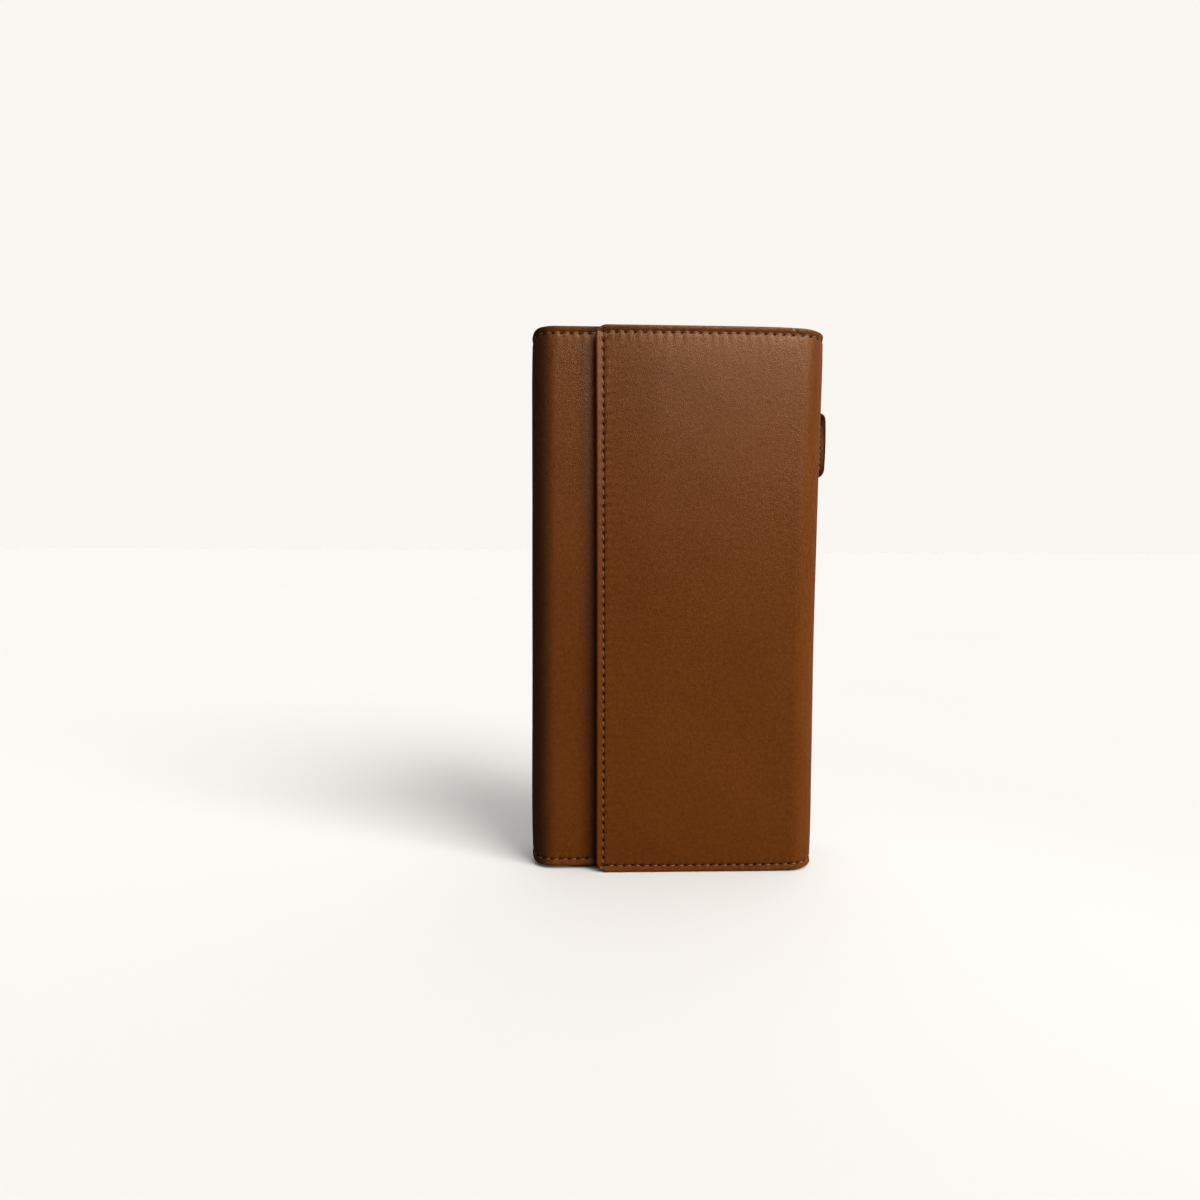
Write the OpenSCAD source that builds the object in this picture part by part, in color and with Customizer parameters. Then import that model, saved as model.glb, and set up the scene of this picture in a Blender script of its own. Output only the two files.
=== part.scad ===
// Long flap wallet standing on one short end.
// +X runs from the bottom fold to the spine, +Y to the back, +Z along the long side.
// The shell is one hide folded round the pockets: it is cut here into the panels and
// the narrow strips between its bending lines, so that every fold can turn.

/* [Overall] */
// Long side of the wallet, which stands upright
wallet_l = 190; // [170:1:205]
// Short side, from the bottom fold to the spine
wallet_w = 101; // [95:1:110]
// Amount by which the body is shorter than the flap at the top end
body_short = 0.2; // [0.2:0.1:2]
// Amount by which the front and the bottom fold stay clear of the ground
front_lift = 0.8; // [0:0.1:2]
// Corner radius of the flap's free edge
flap_corner_r = 2.8; // [1:0.1:6]
// Corner radius of the body at the bottom fold
body_corner_r = 3.2; // [1:0.1:6]
// Width of the front that the closed flap leaves bare
bare_strip_w = 22.3; // [15:0.1:40]
// Distance from the spine's bend to the mouth edge of the front
mouth_set_back = 6; // [5.5:0.1:12]

/* [Layers] */
// Outer leather of the flap
flap_leather_t = 1.1; // [0.8:0.1:1.6]
// Stiffening board of the flap
flap_board_t = 0.5; // [0.3:0.1:1]
// Lining of the flap
flap_lining_t = 0.6; // [0.3:0.1:1]
// Outer leather of the front
front_leather_t = 1.0; // [0.8:0.1:1.6]
// Stiffening board of the front
front_board_t = 0.4; // [0.3:0.1:1]
// Lining of the front
front_lining_t = 0.4; // [0.3:0.1:1]
// Outer leather of the back
back_leather_t = 1.2; // [0.8:0.1:1.6]
// Stiffening board of the back
back_board_t = 0.7; // [0.3:0.1:1]
// Lining of the back
back_lining_t = 0.5; // [0.3:0.1:1]
// Leather and lining of the spine, which has no board
spine_t = 1.7; // [1.2:0.1:2.4]
// Distance of every board from the edge of its panel
board_inset = 4; // [2:0.5:8]
// Distance of the flap's lining from the flap's edge
lining_inset = 1.2; // [0.5:0.1:3]
// Space between the flap and the front, taken up by the snap
snap_gap = 1.0; // [0.9:0.1:2]

/* [Pockets] */
// Thickness of one card pocket
pocket_t = 0.55; // [0.4:0.05:0.8]
// Height of the highest card pocket
pocket_h = 74; // [60:1:76]
// Step from one pocket's mouth to the next
pocket_step = 11; // [8:0.5:14]
// Distance of the pockets from both short ends
pocket_end_inset = 1.2; // [1:0.1:3]
// Thickness of each banknote compartment
note_gap = 3.0; // [2.4:0.1:3.8]
// Thickness of each of the divider's two plies
divider_ply_t = 0.6; // [0.4:0.1:1]
// Distance of the divider from the short ends
divider_end_inset = 3; // [2:0.5:6]
// Depth of the gussets' inward pleat
pleat_depth = 15; // [10:0.5:25]
// Thickness of the gusset leather
pleat_t = 0.5; // [0.3:0.05:0.8]
// Space between the two leaves of a pleat at its valley
pleat_gap = 0.3; // [0.2:0.05:0.6]

/* [Coin pocket] */
// Thickness of the coin pocket behind the back
pouch_t = 7.8; // [6.4:0.1:9]
// Outer leather of the coin pocket
pouch_leather_t = 1.2; // [0.8:0.1:1.6]
// Lip of the coin pocket beside the spine
pouch_lip_t = 0.8; // [0.6:0.1:1.2]
// Space that the unrolled spine needs under that lip
lip_clear = 1.0; // [0.95:0.05:1.6]
// Distance of the coin pocket's mouth from the spine's outermost point
pouch_set_back = 1.6; // [1:0.1:6]
// End walls of the coin pocket
pouch_wall_t = 0.8; // [0.5:0.1:1.5]

/* [Zip] */
// Thickness of the zip's tape
tape_t = 0.5; // [0.3:0.05:0.7]
// Width of the tape that is sewn under the leather
tape_sewn_w = 7; // [4:0.5:12]
// Space between the two tapes
tape_gap = 0.4; // [0.3:0.05:0.8]
// Width of the closed chain of teeth
chain_w = 3.6; // [3.4:0.1:4]
// Height of the teeth above the tape
chain_h = 1.3; // [1:0.1:1.6]
// Distance from one tooth to the next on one tape
tooth_pitch = 2.0; // [1.8:0.1:3]
// Clearance between a tooth and its two neighbours
tooth_clear = 0.2; // [0.1:0.05:0.3]
// Length that the teeth reach past the middle
tooth_lap = 0.7; // [0.4:0.05:0.8]
// Distance of the bottom stop from the base
zip_low_z = 28; // [20:1:40]
// Distance of the top stops from the top end
zip_top_inset = 8.5; // [8:0.5:20]
// Length of each stop along the zip
stop_l = 1.6; // [1:0.1:3]
// Length of the slider
slider_l = 11; // [9:0.5:13]
// Width of the slider at its wide end
slider_w = 6.4; // [6.2:0.1:8]
// Width of the slider at its narrow end
slider_tail_w = 5.8; // [5.6:0.1:6.2]
// Thickness of the slider's plate
slider_plate_t = 0.9; // [0.7:0.1:1.2]
// Thickness of the slider's side walls
slider_wall_t = 0.8; // [0.5:0.1:0.9]
// Clearance of the slider over the teeth and over the leather
slider_clear = 0.2; // [0.15:0.05:0.3]
// Width of the bridge that holds the puller's ring
bridge_w = 1.6; // [1.2:0.1:2]
// Thickness of the bridge
bridge_t = 0.8; // [0.6:0.1:1]

/* [Puller] */
// Radius of the ring's wire
wire_r = 0.45; // [0.35:0.05:0.6]
// Clearance round the ring's wire
wire_clear = 0.1; // [0.05:0.05:0.2]
// Distance between the ring's two bars
ring_l = 5.5; // [4.5:0.1:8]
// Width of the ring between the middles of its legs
ring_w = 5.1; // [4.6:0.1:6]
// Radius of the ring's corners, to the middle of its wire
ring_corner_r = 0.8; // [0.6:0.05:1]
// Width of the leather tab
tab_w = 7.8; // [7:0.1:10]
// Length of the leather tab below the ring
tab_l = 25; // [18:0.5:30]
// Thickness of the folded leather tab
tab_t = 1.2; // [1:0.1:1.6]
// Corner radius of the leather tab
tab_corner_r = 3.4; // [1:0.1:3.8]
// Leather wall of the loop round the ring's lower bar
loop_wall = 0.6; // [0.4:0.1:1]
// Twist of the tab about its own length, in degrees
tab_twist = 46; // [0:1:48]

/* [Snap] */
// Radius of the snap's discs
snap_r = 7; // [5:0.5:9]
// Distance of the snap from the flap's free edge
snap_edge = 13; // [10:0.5:20]
// Thickness of the disc on the flap
stud_disc_t = 0.45; // [0.3:0.05:0.5]
// Thickness of the disc on the front
socket_disc_t = 0.35; // [0.2:0.05:0.4]
// Radius of the stud
stud_r = 2.2; // [1.5:0.1:3]
// Length of the stud below its disc
stud_l = 1.1; // [0.8:0.1:1.2]
// Clearance of the stud in its socket
stud_clear = 0.4; // [0.3:0.05:0.6]
// Wall of the socket round the stud
socket_wall = 1.0; // [0.6:0.1:1.5]

/* [Hidden] */
$fn = 96;
// Card pockets on each side
pocket_n = 4;
// Number of rigid strips that stand for the bending leather of the spine
strip_n = 4;
strip_angle = 180 / strip_n;
// Half of the slit along each bending line
half_slit = 0.05;

// Layers, added up from the flap's face to the coin pocket's face
flap_t = flap_leather_t + flap_board_t + flap_lining_t;
front_t = front_leather_t + front_board_t + front_lining_t;
back_t = back_leather_t + back_board_t + back_lining_t;
stack_t = pocket_n * pocket_t;
divider_t = 2 * divider_ply_t;
body_t = front_t + back_t + 2 * stack_t + 2 * note_gap + divider_t;
folded_t = flap_t + snap_gap + body_t;
total_t = folded_t + pouch_t;

// Depths along Y
flap_y = -total_t / 2 - 0.25;
flap_in_y = flap_y + flap_t;
front_y = flap_in_y + snap_gap;
front_in_y = front_y + front_t;
front_stack_y = front_in_y + stack_t;
divider_y = front_stack_y + note_gap;
divider_mid_y = divider_y + divider_ply_t;
divider_back_y = divider_y + divider_t;
back_stack_y = divider_back_y + note_gap;
back_in_y = back_stack_y + stack_t;
back_y = back_in_y + back_t;
pouch_y = back_y + pouch_t;
lip_y = back_y + lip_clear;
mouth_front_y = lip_y + pouch_lip_t;
mouth_back_y = pouch_y - pouch_leather_t;
zip_y = (mouth_front_y + mouth_back_y) / 2;

// Places along X
tab_proud = 4.8;
left_x = -(wallet_w + tab_proud) / 2;
spine_r = folded_t / 2;
spine_x = left_x + wallet_w - spine_r;
spine_y = flap_y + spine_r;
fold_r = body_t / 2;
fold_x = left_x + fold_r;
fold_y = front_y + fold_r;
flap_edge_x = left_x + bare_strip_w;
mouth_x = spine_x - mouth_set_back;
pocket_x = fold_x + 1.5;
board_x = fold_x + board_inset;
pouch_corner_r = 5;
lip_seam_w = 6;
lip_x = spine_x - lip_seam_w - 2;
pouch_x = fold_x - 1.3;
pouch_mouth_x = spine_x + spine_r - pouch_set_back;
chain_top_x = pouch_mouth_x + chain_h;
plate_x = chain_top_x + slider_clear;
bridge_x = plate_x + slider_plate_t;
bridge_open = 2 * (wire_r + wire_clear) + 1.8;
ring_x = bridge_x + bridge_open - wire_clear - wire_r;
snap_x = flap_edge_x + snap_edge;

// Heights along Z
body_l = wallet_l - body_short;
mid_z = wallet_l / 2;
stop_top_z = wallet_l - zip_top_inset;
slider_top_z = stop_top_z - stop_l - slider_clear;
slider_z = slider_top_z - slider_l;
bridge_inset = 2.5;
bridge_wall = 0.9;
ring_z = slider_z + bridge_inset + bridge_wall + wire_clear + wire_r;
ring_low_z = ring_z - ring_l;
tab_top_z = ring_low_z - wire_r - 0.35;
loop_r = wire_r + wire_clear + loop_wall;
loop_l = ring_w - 2 * wire_r - 0.8;
pleat_z = front_lift + 0.2;

// Colours
hide = "#6e3f1c";
hide_edge = "#4a2414";
lining = "#7d4c2a";
board = "#b9a88c";
tape = "#5a3620";
brass = "#b08d4f";

// Sheet parallel to the panels with rounded corners on its left side
module sheet(x0, x1, z0, z1, y0, y1, r) {
    translate([0, y1, 0])
        rotate([90, 0, 0])
            linear_extrude(y1 - y0) {
                translate([x0 + r, z0]) square([x1 - x0 - r, z1 - z0]);
                translate([x0, z0 + r]) square([x1 - x0, z1 - z0 - 2 * r]);
                translate([x0 + r, z0 + r]) circle(r);
                translate([x0 + r, z1 - r]) circle(r);
            }
}

// Plain sheet with square corners
module slab(x0, x1, z0, z1, y0, y1) {
    translate([x0, y0, z0]) cube([x1 - x0, y1 - y0, z1 - z0]);
}

// Strip of a tube along Z from direction a0 to a1, set back by slit_0 and slit_1 there
module tube_strip(cx, cy, r_out, t, a0, a1, length, slit_0 = half_slit, slit_1 = half_slit) {
    reach = 2 * r_out;
    translate([cx, cy, 0])
        linear_extrude(length)
            intersection() {
                difference() {
                    circle(r_out);
                    circle(r_out - t);
                }
                translate(slit_0 * [cos(a0 + 90), sin(a0 + 90)])
                    polygon([[0, 0], reach * [cos(a0), sin(a0)],
                             reach * [cos(a0 + 90), sin(a0 + 90)]]);
                translate(slit_1 * [cos(a1 - 90), sin(a1 - 90)])
                    polygon([[0, 0], reach * [cos(a1), sin(a1)],
                             reach * [cos(a1 - 90), sin(a1 - 90)]]);
            }
}

// Quarter of the bottom fold, with the body's rounded corners
module fold_quarter(t, a0, a1, slit_0, slit_1) {
    intersection() {
        tube_strip(fold_x, fold_y, fold_r, t, a0, a1, body_l, slit_0, slit_1);
        sheet(left_x, fold_x + 1, front_lift, body_l, front_y - 1, back_y + 1, body_corner_r);
    }
}

// One of the nested card pockets, counted from the panel towards the notes
module card_pocket(panel_y, step_y, number) {
    lip_x = pocket_x + pocket_h - (number - 1) * pocket_step;
    y_a = panel_y + step_y * (number - 1);
    y_b = panel_y + step_y * number;
    slab(pocket_x, lip_x, pocket_end_inset, body_l - pocket_end_inset, min(y_a, y_b), max(y_a, y_b));
}

// Leaf of a pleated gusset at both short ends, from its panel to the pleat's valley
module pleat_leaves(panel_y, valley_y) {
    side = sign(valley_y - panel_y);
    inner_y = valley_y - side * pleat_gap / 2;
    leaf = [[panel_y, 0], [panel_y + side * pleat_t, 0], [inner_y, pleat_depth],
            [inner_y - side * pleat_t, pleat_depth]];
    for (top = [0, 1])
        translate([pocket_x, 0, top ? body_l - pleat_z : pleat_z])
            mirror([0, 0, top])
                rotate([90, 0, 90])
                    linear_extrude(mouth_x - 4 - pocket_x)
                        polygon(leaf);
}

module back_leather() {
    color(hide) {
        slab(fold_x, spine_x - half_slit, 0, body_l, back_y - back_leather_t, back_y);
        fold_quarter(back_leather_t, 90, 180, 0, half_slit);
    }
}

module back_board() {
    color(board)
        slab(board_x, spine_x - board_inset, board_inset, body_l - board_inset,
             back_in_y + back_lining_t, back_y - back_leather_t);
}

module back_lining() {
    color(lining)
        slab(fold_x, spine_x - half_slit, 0, body_l, back_in_y, back_in_y + back_lining_t);
}

module back_card_pocket(number) {
    color(lining) card_pocket(back_in_y, -pocket_t, number);
}

module back_gusset_leaves() {
    color(lining) pleat_leaves(back_stack_y, (back_stack_y + divider_back_y) / 2);
}

// Rear wall of the coin pocket, rounded down to the back at the bottom fold
module coin_pocket_leather() {
    r = pouch_corner_r;
    t = pouch_leather_t;
    color(hide) {
        slab(pouch_x + r, pouch_mouth_x, 0, body_l, pouch_y - t, pouch_y);
        intersection() {
            union() {
                tube_strip(pouch_x + r, pouch_y - r, r, t, 90, 180, body_l, 0, 0);
                slab(pouch_x, pouch_x + t, 0, body_l, back_y, pouch_y - r);
            }
            sheet(pouch_x, pouch_x + r + 1, 0, body_l, back_y, pouch_y + 1, body_corner_r);
        }
    }
}

// Lip between the spine and the zip
module coin_pocket_lip() {
    color(hide) {
        slab(lip_x, pouch_mouth_x, 0, body_l, lip_y, mouth_front_y);
        slab(lip_x, lip_x + lip_seam_w, 0, body_l, back_y, lip_y);
    }
}

module coin_pocket_ends() {
    color(hide_edge)
        for (z = [pouch_wall_t, body_l - 2 * pouch_wall_t]) {
            slab(pouch_x + pouch_corner_r, lip_x, z, z + pouch_wall_t, back_y, mouth_back_y);
            slab(lip_x, pouch_mouth_x - pouch_wall_t, z, z + pouch_wall_t, mouth_front_y, mouth_back_y);
        }
}

// Tape sewn under a leather edge and turned through a right angle into the mouth
module zip_tape(edge_y, side) {
    low = min(edge_y, edge_y + side * tape_t);
    half = (mouth_back_y - mouth_front_y - tape_gap) / 2;
    turned = min(edge_y, edge_y + side * half);
    color(tape) {
        slab(pouch_mouth_x - tape_sewn_w, pouch_mouth_x, zip_low_z - 6, stop_top_z + 6, low, low + tape_t);
        slab(pouch_mouth_x - tape_t, pouch_mouth_x, zip_low_z - 6, stop_top_z + 6, turned, turned + half);
    }
}

// Comb of teeth: a rib along the tape with one tooth at every pitch
module zip_comb(side, offset) {
    tooth_l = tooth_pitch / 2 - tooth_clear;
    z0 = zip_low_z + stop_l + slider_clear;
    z1 = slider_top_z;
    count = floor((z1 - z0 - offset) / tooth_pitch);
    rib_w = chain_w / 2 - tooth_lap - tooth_clear;
    rib_y = zip_y + side * (chain_w / 2 - rib_w / 2);
    tip_y = zip_y - side * tooth_lap;
    color(brass)
        translate([pouch_mouth_x, 0, 0]) {
            translate([0, rib_y - rib_w / 2, z0]) cube([chain_h, rib_w, z1 - z0]);
            for (i = [0 : count - 1])
                translate([0, min(tip_y, rib_y), z0 + offset + i * tooth_pitch])
                    cube([chain_h, abs(rib_y - tip_y), tooth_l]);
        }
}

module zip_top_stops() {
    stop_w = chain_w / 2 - tape_gap;
    color(brass)
        for (side = [-1, 1])
            translate([pouch_mouth_x, zip_y + side * (tape_gap + stop_w / 2) - stop_w / 2,
                       stop_top_z - stop_l])
                cube([chain_h, stop_w, stop_l]);
}

module zip_bottom_stop() {
    color(brass)
        translate([pouch_mouth_x, zip_y - chain_w / 2, zip_low_z])
            cube([chain_h, chain_w, stop_l]);
}

module spine_strip(number) {
    top = 90 - (number - 1) * strip_angle;
    color(hide) tube_strip(spine_x, spine_y, spine_r, spine_t, top - strip_angle, top, wallet_l);
}

// Flap leather with its edges turned in round the board
module flap_leather() {
    face_y = flap_y + flap_leather_t;
    color(hide)
        difference() {
            sheet(flap_edge_x, spine_x - half_slit, 0, wallet_l, flap_y, face_y + flap_board_t, flap_corner_r);
            slab(flap_edge_x + board_inset, spine_x, board_inset, wallet_l - board_inset,
                 face_y, face_y + flap_board_t + 1);
        }
}

module flap_board() {
    face_y = flap_y + flap_leather_t;
    color(board)
        slab(flap_edge_x + board_inset, spine_x - board_inset, board_inset, wallet_l - board_inset,
             face_y, face_y + flap_board_t);
}

module flap_lining() {
    color(lining)
        sheet(flap_edge_x + lining_inset, spine_x - half_slit, lining_inset, wallet_l - lining_inset,
              flap_in_y - flap_lining_t, flap_in_y, flap_corner_r - lining_inset / 2);
}

module snap_stud() {
    color(brass)
        translate([snap_x, flap_in_y, mid_z])
            rotate([-90, 0, 0]) {
                cylinder(r = snap_r, h = stud_disc_t);
                cylinder(r = stud_r, h = stud_disc_t + stud_l);
            }
}

module divider_ply(y) {
    color(lining)
        slab(pocket_x, mouth_x, divider_end_inset, body_l - divider_end_inset, y, y + divider_ply_t);
}

module divider_gusset_leaves() {
    color(lining) {
        pleat_leaves(divider_back_y, (back_stack_y + divider_back_y) / 2);
        pleat_leaves(divider_y, (front_stack_y + divider_y) / 2);
    }
}

// Hole in the front's layers for the snap's socket
module socket_hole() {
    translate([snap_x, front_y - 1, mid_z])
        rotate([-90, 0, 0])
            cylinder(r = stud_r + stud_clear + socket_wall + 0.1, h = front_t - front_lining_t + 1);
}

module front_leather() {
    color(hide)
        difference() {
            union() {
                slab(fold_x, mouth_x, front_lift, body_l, front_y, front_y + front_leather_t);
                fold_quarter(front_leather_t, 180, 270, half_slit, 0);
            }
            socket_hole();
        }
}

module front_board() {
    color(board)
        difference() {
            slab(board_x, mouth_x - board_inset, board_inset, body_l - board_inset,
                 front_y + front_leather_t, front_in_y - front_lining_t);
            socket_hole();
        }
}

module front_lining() {
    color(lining)
        slab(fold_x, mouth_x, front_lift, body_l, front_in_y - front_lining_t, front_in_y);
}

module front_card_pocket(number) {
    color(lining) card_pocket(front_in_y, pocket_t, number);
}

module front_gusset_leaves() {
    color(lining) pleat_leaves(front_stack_y, (front_stack_y + divider_y) / 2);
}

module snap_socket() {
    bore_r = stud_r + stud_clear;
    depth = front_t - front_lining_t;
    color(brass)
        translate([snap_x, front_y, mid_z])
            rotate([-90, 0, 0])
                difference() {
                    union() {
                        translate([0, 0, -socket_disc_t]) cylinder(r = snap_r, h = socket_disc_t);
                        cylinder(r = bore_r + socket_wall, h = depth);
                    }
                    translate([0, 0, -socket_disc_t - 1])
                        cylinder(r = bore_r, h = socket_disc_t + depth + 0.6);
                }
}

// Slider: a shield-shaped plate, a wall on each side of the teeth and a bridge
module zip_slider() {
    half_chain = chain_w / 2 + slider_clear;
    wall_low_x = pouch_mouth_x + slider_clear;
    color(brass) {
        translate([plate_x, zip_y, slider_z])
            rotate([90, 0, 90])
                linear_extrude(slider_plate_t)
                    polygon([[-slider_tail_w / 2, 0], [slider_tail_w / 2, 0],
                             [slider_w / 2, slider_l * 0.45], [slider_w / 2, slider_l * 0.85],
                             [slider_w / 4, slider_l], [-slider_w / 4, slider_l],
                             [-slider_w / 2, slider_l * 0.85], [-slider_w / 2, slider_l * 0.45]]);
        for (side = [-1, 1])
            translate([wall_low_x, zip_y + side * (half_chain + slider_wall_t / 2) - slider_wall_t / 2,
                       slider_z])
                cube([bridge_x - wall_low_x, slider_wall_t, slider_l * 0.85]);
        translate([bridge_x - 0.1, zip_y - bridge_w / 2, slider_z + bridge_inset])
            slider_bridge();
    }
}

// Bridge over the slider's plate, open from side to side for the ring
module slider_bridge() {
    bridge_l = slider_l - 2 * bridge_inset;
    difference() {
        cube([0.1 + bridge_open + bridge_t, bridge_w, bridge_l]);
        translate([0.1, -1, bridge_wall])
            cube([bridge_open, bridge_w + 2, bridge_l - 2 * bridge_wall]);
    }
}

// Bar of the ring across the zip, between the ring's rounded corners
module ring_bar(z) {
    bar_l = ring_w - 2 * ring_corner_r;
    translate([ring_x, zip_y - bar_l / 2, z])
        rotate([-90, 0, 0])
            cylinder(r = wire_r, h = bar_l);
}

// Quarter bend of the ring; turn 0 joins the lower bar to the leg on the far side
module ring_corner(y, z, turn) {
    translate([ring_x, y, z])
        rotate([turn, 0, 0])
            rotate([0, 90, 0])
                rotate_extrude(angle = 90)
                    translate([ring_corner_r, 0])
                        circle(r = wire_r);
}

module puller_ring() {
    far_y = zip_y + ring_w / 2 - ring_corner_r;
    near_y = zip_y - ring_w / 2 + ring_corner_r;
    color(brass) {
        ring_bar(ring_z);
        ring_bar(ring_low_z);
        for (side = [-1, 1])
            translate([ring_x, zip_y + side * ring_w / 2, ring_low_z + ring_corner_r])
                cylinder(r = wire_r, h = ring_l - 2 * ring_corner_r);
        ring_corner(far_y, ring_low_z + ring_corner_r, 0);
        ring_corner(far_y, ring_z - ring_corner_r, 90);
        ring_corner(near_y, ring_z - ring_corner_r, 180);
        ring_corner(near_y, ring_low_z + ring_corner_r, 270);
    }
}

// Leather strip folded round the ring's lower bar and closed to a flat tab
module puller_tab() {
    color(hide)
        difference() {
            union() {
                translate([ring_x, zip_y, tab_top_z - tab_l])
                    rotate([0, 0, tab_twist])
                        translate([-tab_t / 2, 0, 0])
                            rotate([90, 0, 90])
                                linear_extrude(tab_t)
                                    tab_outline();
                translate([ring_x, zip_y - loop_l / 2, ring_low_z])
                    rotate([-90, 0, 0])
                        cylinder(r = loop_r, h = loop_l);
                translate([ring_x - tab_t / 2, zip_y - loop_l / 2, tab_top_z - 1])
                    cube([tab_t, loop_l, ring_low_z - tab_top_z + 1]);
            }
            translate([ring_x, zip_y - ring_w / 2, ring_low_z])
                rotate([-90, 0, 0])
                    cylinder(r = wire_r + wire_clear, h = ring_w);
        }
}

module tab_outline() {
    r = tab_corner_r;
    translate([-tab_w / 2 + r, 0]) square([tab_w - 2 * r, tab_l]);
    translate([-tab_w / 2, r]) square([tab_w, tab_l - 2 * r]);
    for (y = [-tab_w / 2 + r, tab_w / 2 - r])
        for (z = [r, tab_l - r])
            translate([y, z]) circle(r);
}

back_leather();
back_board();
back_lining();
back_card_pocket(1);  // back_card_pocket_1
back_card_pocket(2);  // back_card_pocket_2
back_card_pocket(3);  // back_card_pocket_3
back_card_pocket(4);  // back_card_pocket_4
back_gusset_leaves();
coin_pocket_leather();
coin_pocket_lip();
coin_pocket_ends();
zip_tape(mouth_back_y, -1);  // zip_tape_back
zip_tape(mouth_front_y, 1);  // zip_tape_front
zip_comb(1, 0);  // zip_teeth_back
zip_comb(-1, tooth_pitch / 2);  // zip_teeth_front
zip_top_stops();
zip_bottom_stop();
spine_strip(1);  // spine_strip_1
spine_strip(2);  // spine_strip_2
spine_strip(3);  // spine_strip_3
spine_strip(4);  // spine_strip_4
flap_leather();
flap_board();
flap_lining();
snap_stud();
divider_ply(divider_mid_y);  // divider_back_ply
divider_ply(divider_y);  // divider_front_ply
divider_gusset_leaves();
front_leather();
front_board();
front_lining();
front_card_pocket(1);  // front_card_pocket_1
front_card_pocket(2);  // front_card_pocket_2
front_card_pocket(3);  // front_card_pocket_3
front_card_pocket(4);  // front_card_pocket_4
front_gusset_leaves();
snap_socket();
zip_slider();
puller_ring();
puller_tab();
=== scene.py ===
"""Looks of a long flap wallet in smooth tan leather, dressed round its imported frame.

One hide runs from the free edge of the flap over the spine, down the back, round the bottom
fold and up the front. A Profile describes that line once, and every leather piece is a Sheet
laid along a surface, so seams, stitches and grain run on from one piece to the next.
Sizes are millimetres unless a comment says otherwise; a mesh is turned into metres as it is
finished, and the sizes of patterns and the studio are metres.
"""

import sys

import logging
import math
from collections.abc import Callable, Iterable
from dataclasses import dataclass, field
from enum import Enum
from functools import cached_property

import bmesh
import bpy
from mathutils import Matrix, Vector, noise


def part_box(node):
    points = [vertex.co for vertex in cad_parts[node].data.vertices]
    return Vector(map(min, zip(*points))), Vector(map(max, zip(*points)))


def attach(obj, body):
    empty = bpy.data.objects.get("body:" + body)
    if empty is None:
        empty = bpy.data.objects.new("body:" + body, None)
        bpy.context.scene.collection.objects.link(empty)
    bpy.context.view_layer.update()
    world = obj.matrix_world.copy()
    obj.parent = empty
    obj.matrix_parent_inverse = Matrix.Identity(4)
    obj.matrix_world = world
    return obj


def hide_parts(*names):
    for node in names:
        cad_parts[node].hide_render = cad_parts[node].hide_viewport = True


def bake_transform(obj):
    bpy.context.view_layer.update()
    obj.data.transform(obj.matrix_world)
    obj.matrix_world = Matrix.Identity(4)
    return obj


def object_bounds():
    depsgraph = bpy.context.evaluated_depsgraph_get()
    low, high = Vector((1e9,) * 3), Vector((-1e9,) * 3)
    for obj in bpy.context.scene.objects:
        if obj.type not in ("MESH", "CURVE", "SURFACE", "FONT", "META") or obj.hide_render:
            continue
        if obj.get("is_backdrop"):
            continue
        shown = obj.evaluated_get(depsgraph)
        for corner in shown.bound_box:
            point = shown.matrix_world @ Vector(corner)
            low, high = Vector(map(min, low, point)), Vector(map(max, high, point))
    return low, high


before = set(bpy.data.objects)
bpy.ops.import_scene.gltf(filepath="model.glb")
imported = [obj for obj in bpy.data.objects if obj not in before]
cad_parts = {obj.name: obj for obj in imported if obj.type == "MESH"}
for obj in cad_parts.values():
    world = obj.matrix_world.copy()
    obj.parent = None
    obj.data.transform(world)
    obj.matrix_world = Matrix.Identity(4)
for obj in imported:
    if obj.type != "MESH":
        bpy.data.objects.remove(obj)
CAD_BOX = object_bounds()
LOG = logging.getLogger("wallet")
MM = 0.001

Place = Callable[[float, float, float], Vector]
Outline = Callable[[Vector], Vector]
Colour = tuple[float, float, float]
Pair = tuple[float, float]
Mesh = bmesh.types.BMesh
Vert = bmesh.types.BMVert
Edge = bmesh.types.BMEdge
Material = bpy.types.Material
Socket = bpy.types.NodeSocket
Thing = bpy.types.Object


class Side(Enum):
    """The four sides of a sheet: along its profile and along the wallet."""

    START = "start"
    END = "end"
    LOW = "low"
    HIGH = "high"


ALL_SIDES = frozenset(Side)
SHORT_ENDS = frozenset((Side.LOW, Side.HIGH))
THREE_SIDES = SHORT_ENDS | {Side.END}


class EdgeFinish(Enum):
    """How a leather edge is finished, as the share of the rim's colour that shows."""

    TURNED = 0.55
    PAINTED = 1.0


def eased(share: float) -> float:
    """Smooth step from 0 to 1."""
    t = min(1.0, max(0.0, share))
    return t * t * (3 - 2 * t)


# ---------------------------------------------------------------- sizes, profiles and sheets


@dataclass(frozen=True)
class Box:
    """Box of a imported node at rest."""

    x0: float
    x1: float
    y0: float
    y1: float
    z0: float
    z1: float

    @classmethod
    def of(cls, node: str) -> "Box":
        """Box of one node."""
        low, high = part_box(node)
        return cls(*(round(v / MM, 3) for axis in zip(low, high) for v in axis))

    @property
    def wide(self) -> float:
        """Size along X."""
        return self.x1 - self.x0

    @property
    def deep(self) -> float:
        """Size along Y."""
        return self.y1 - self.y0

    @property
    def tall(self) -> float:
        """Size along Z."""
        return self.z1 - self.z0


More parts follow.
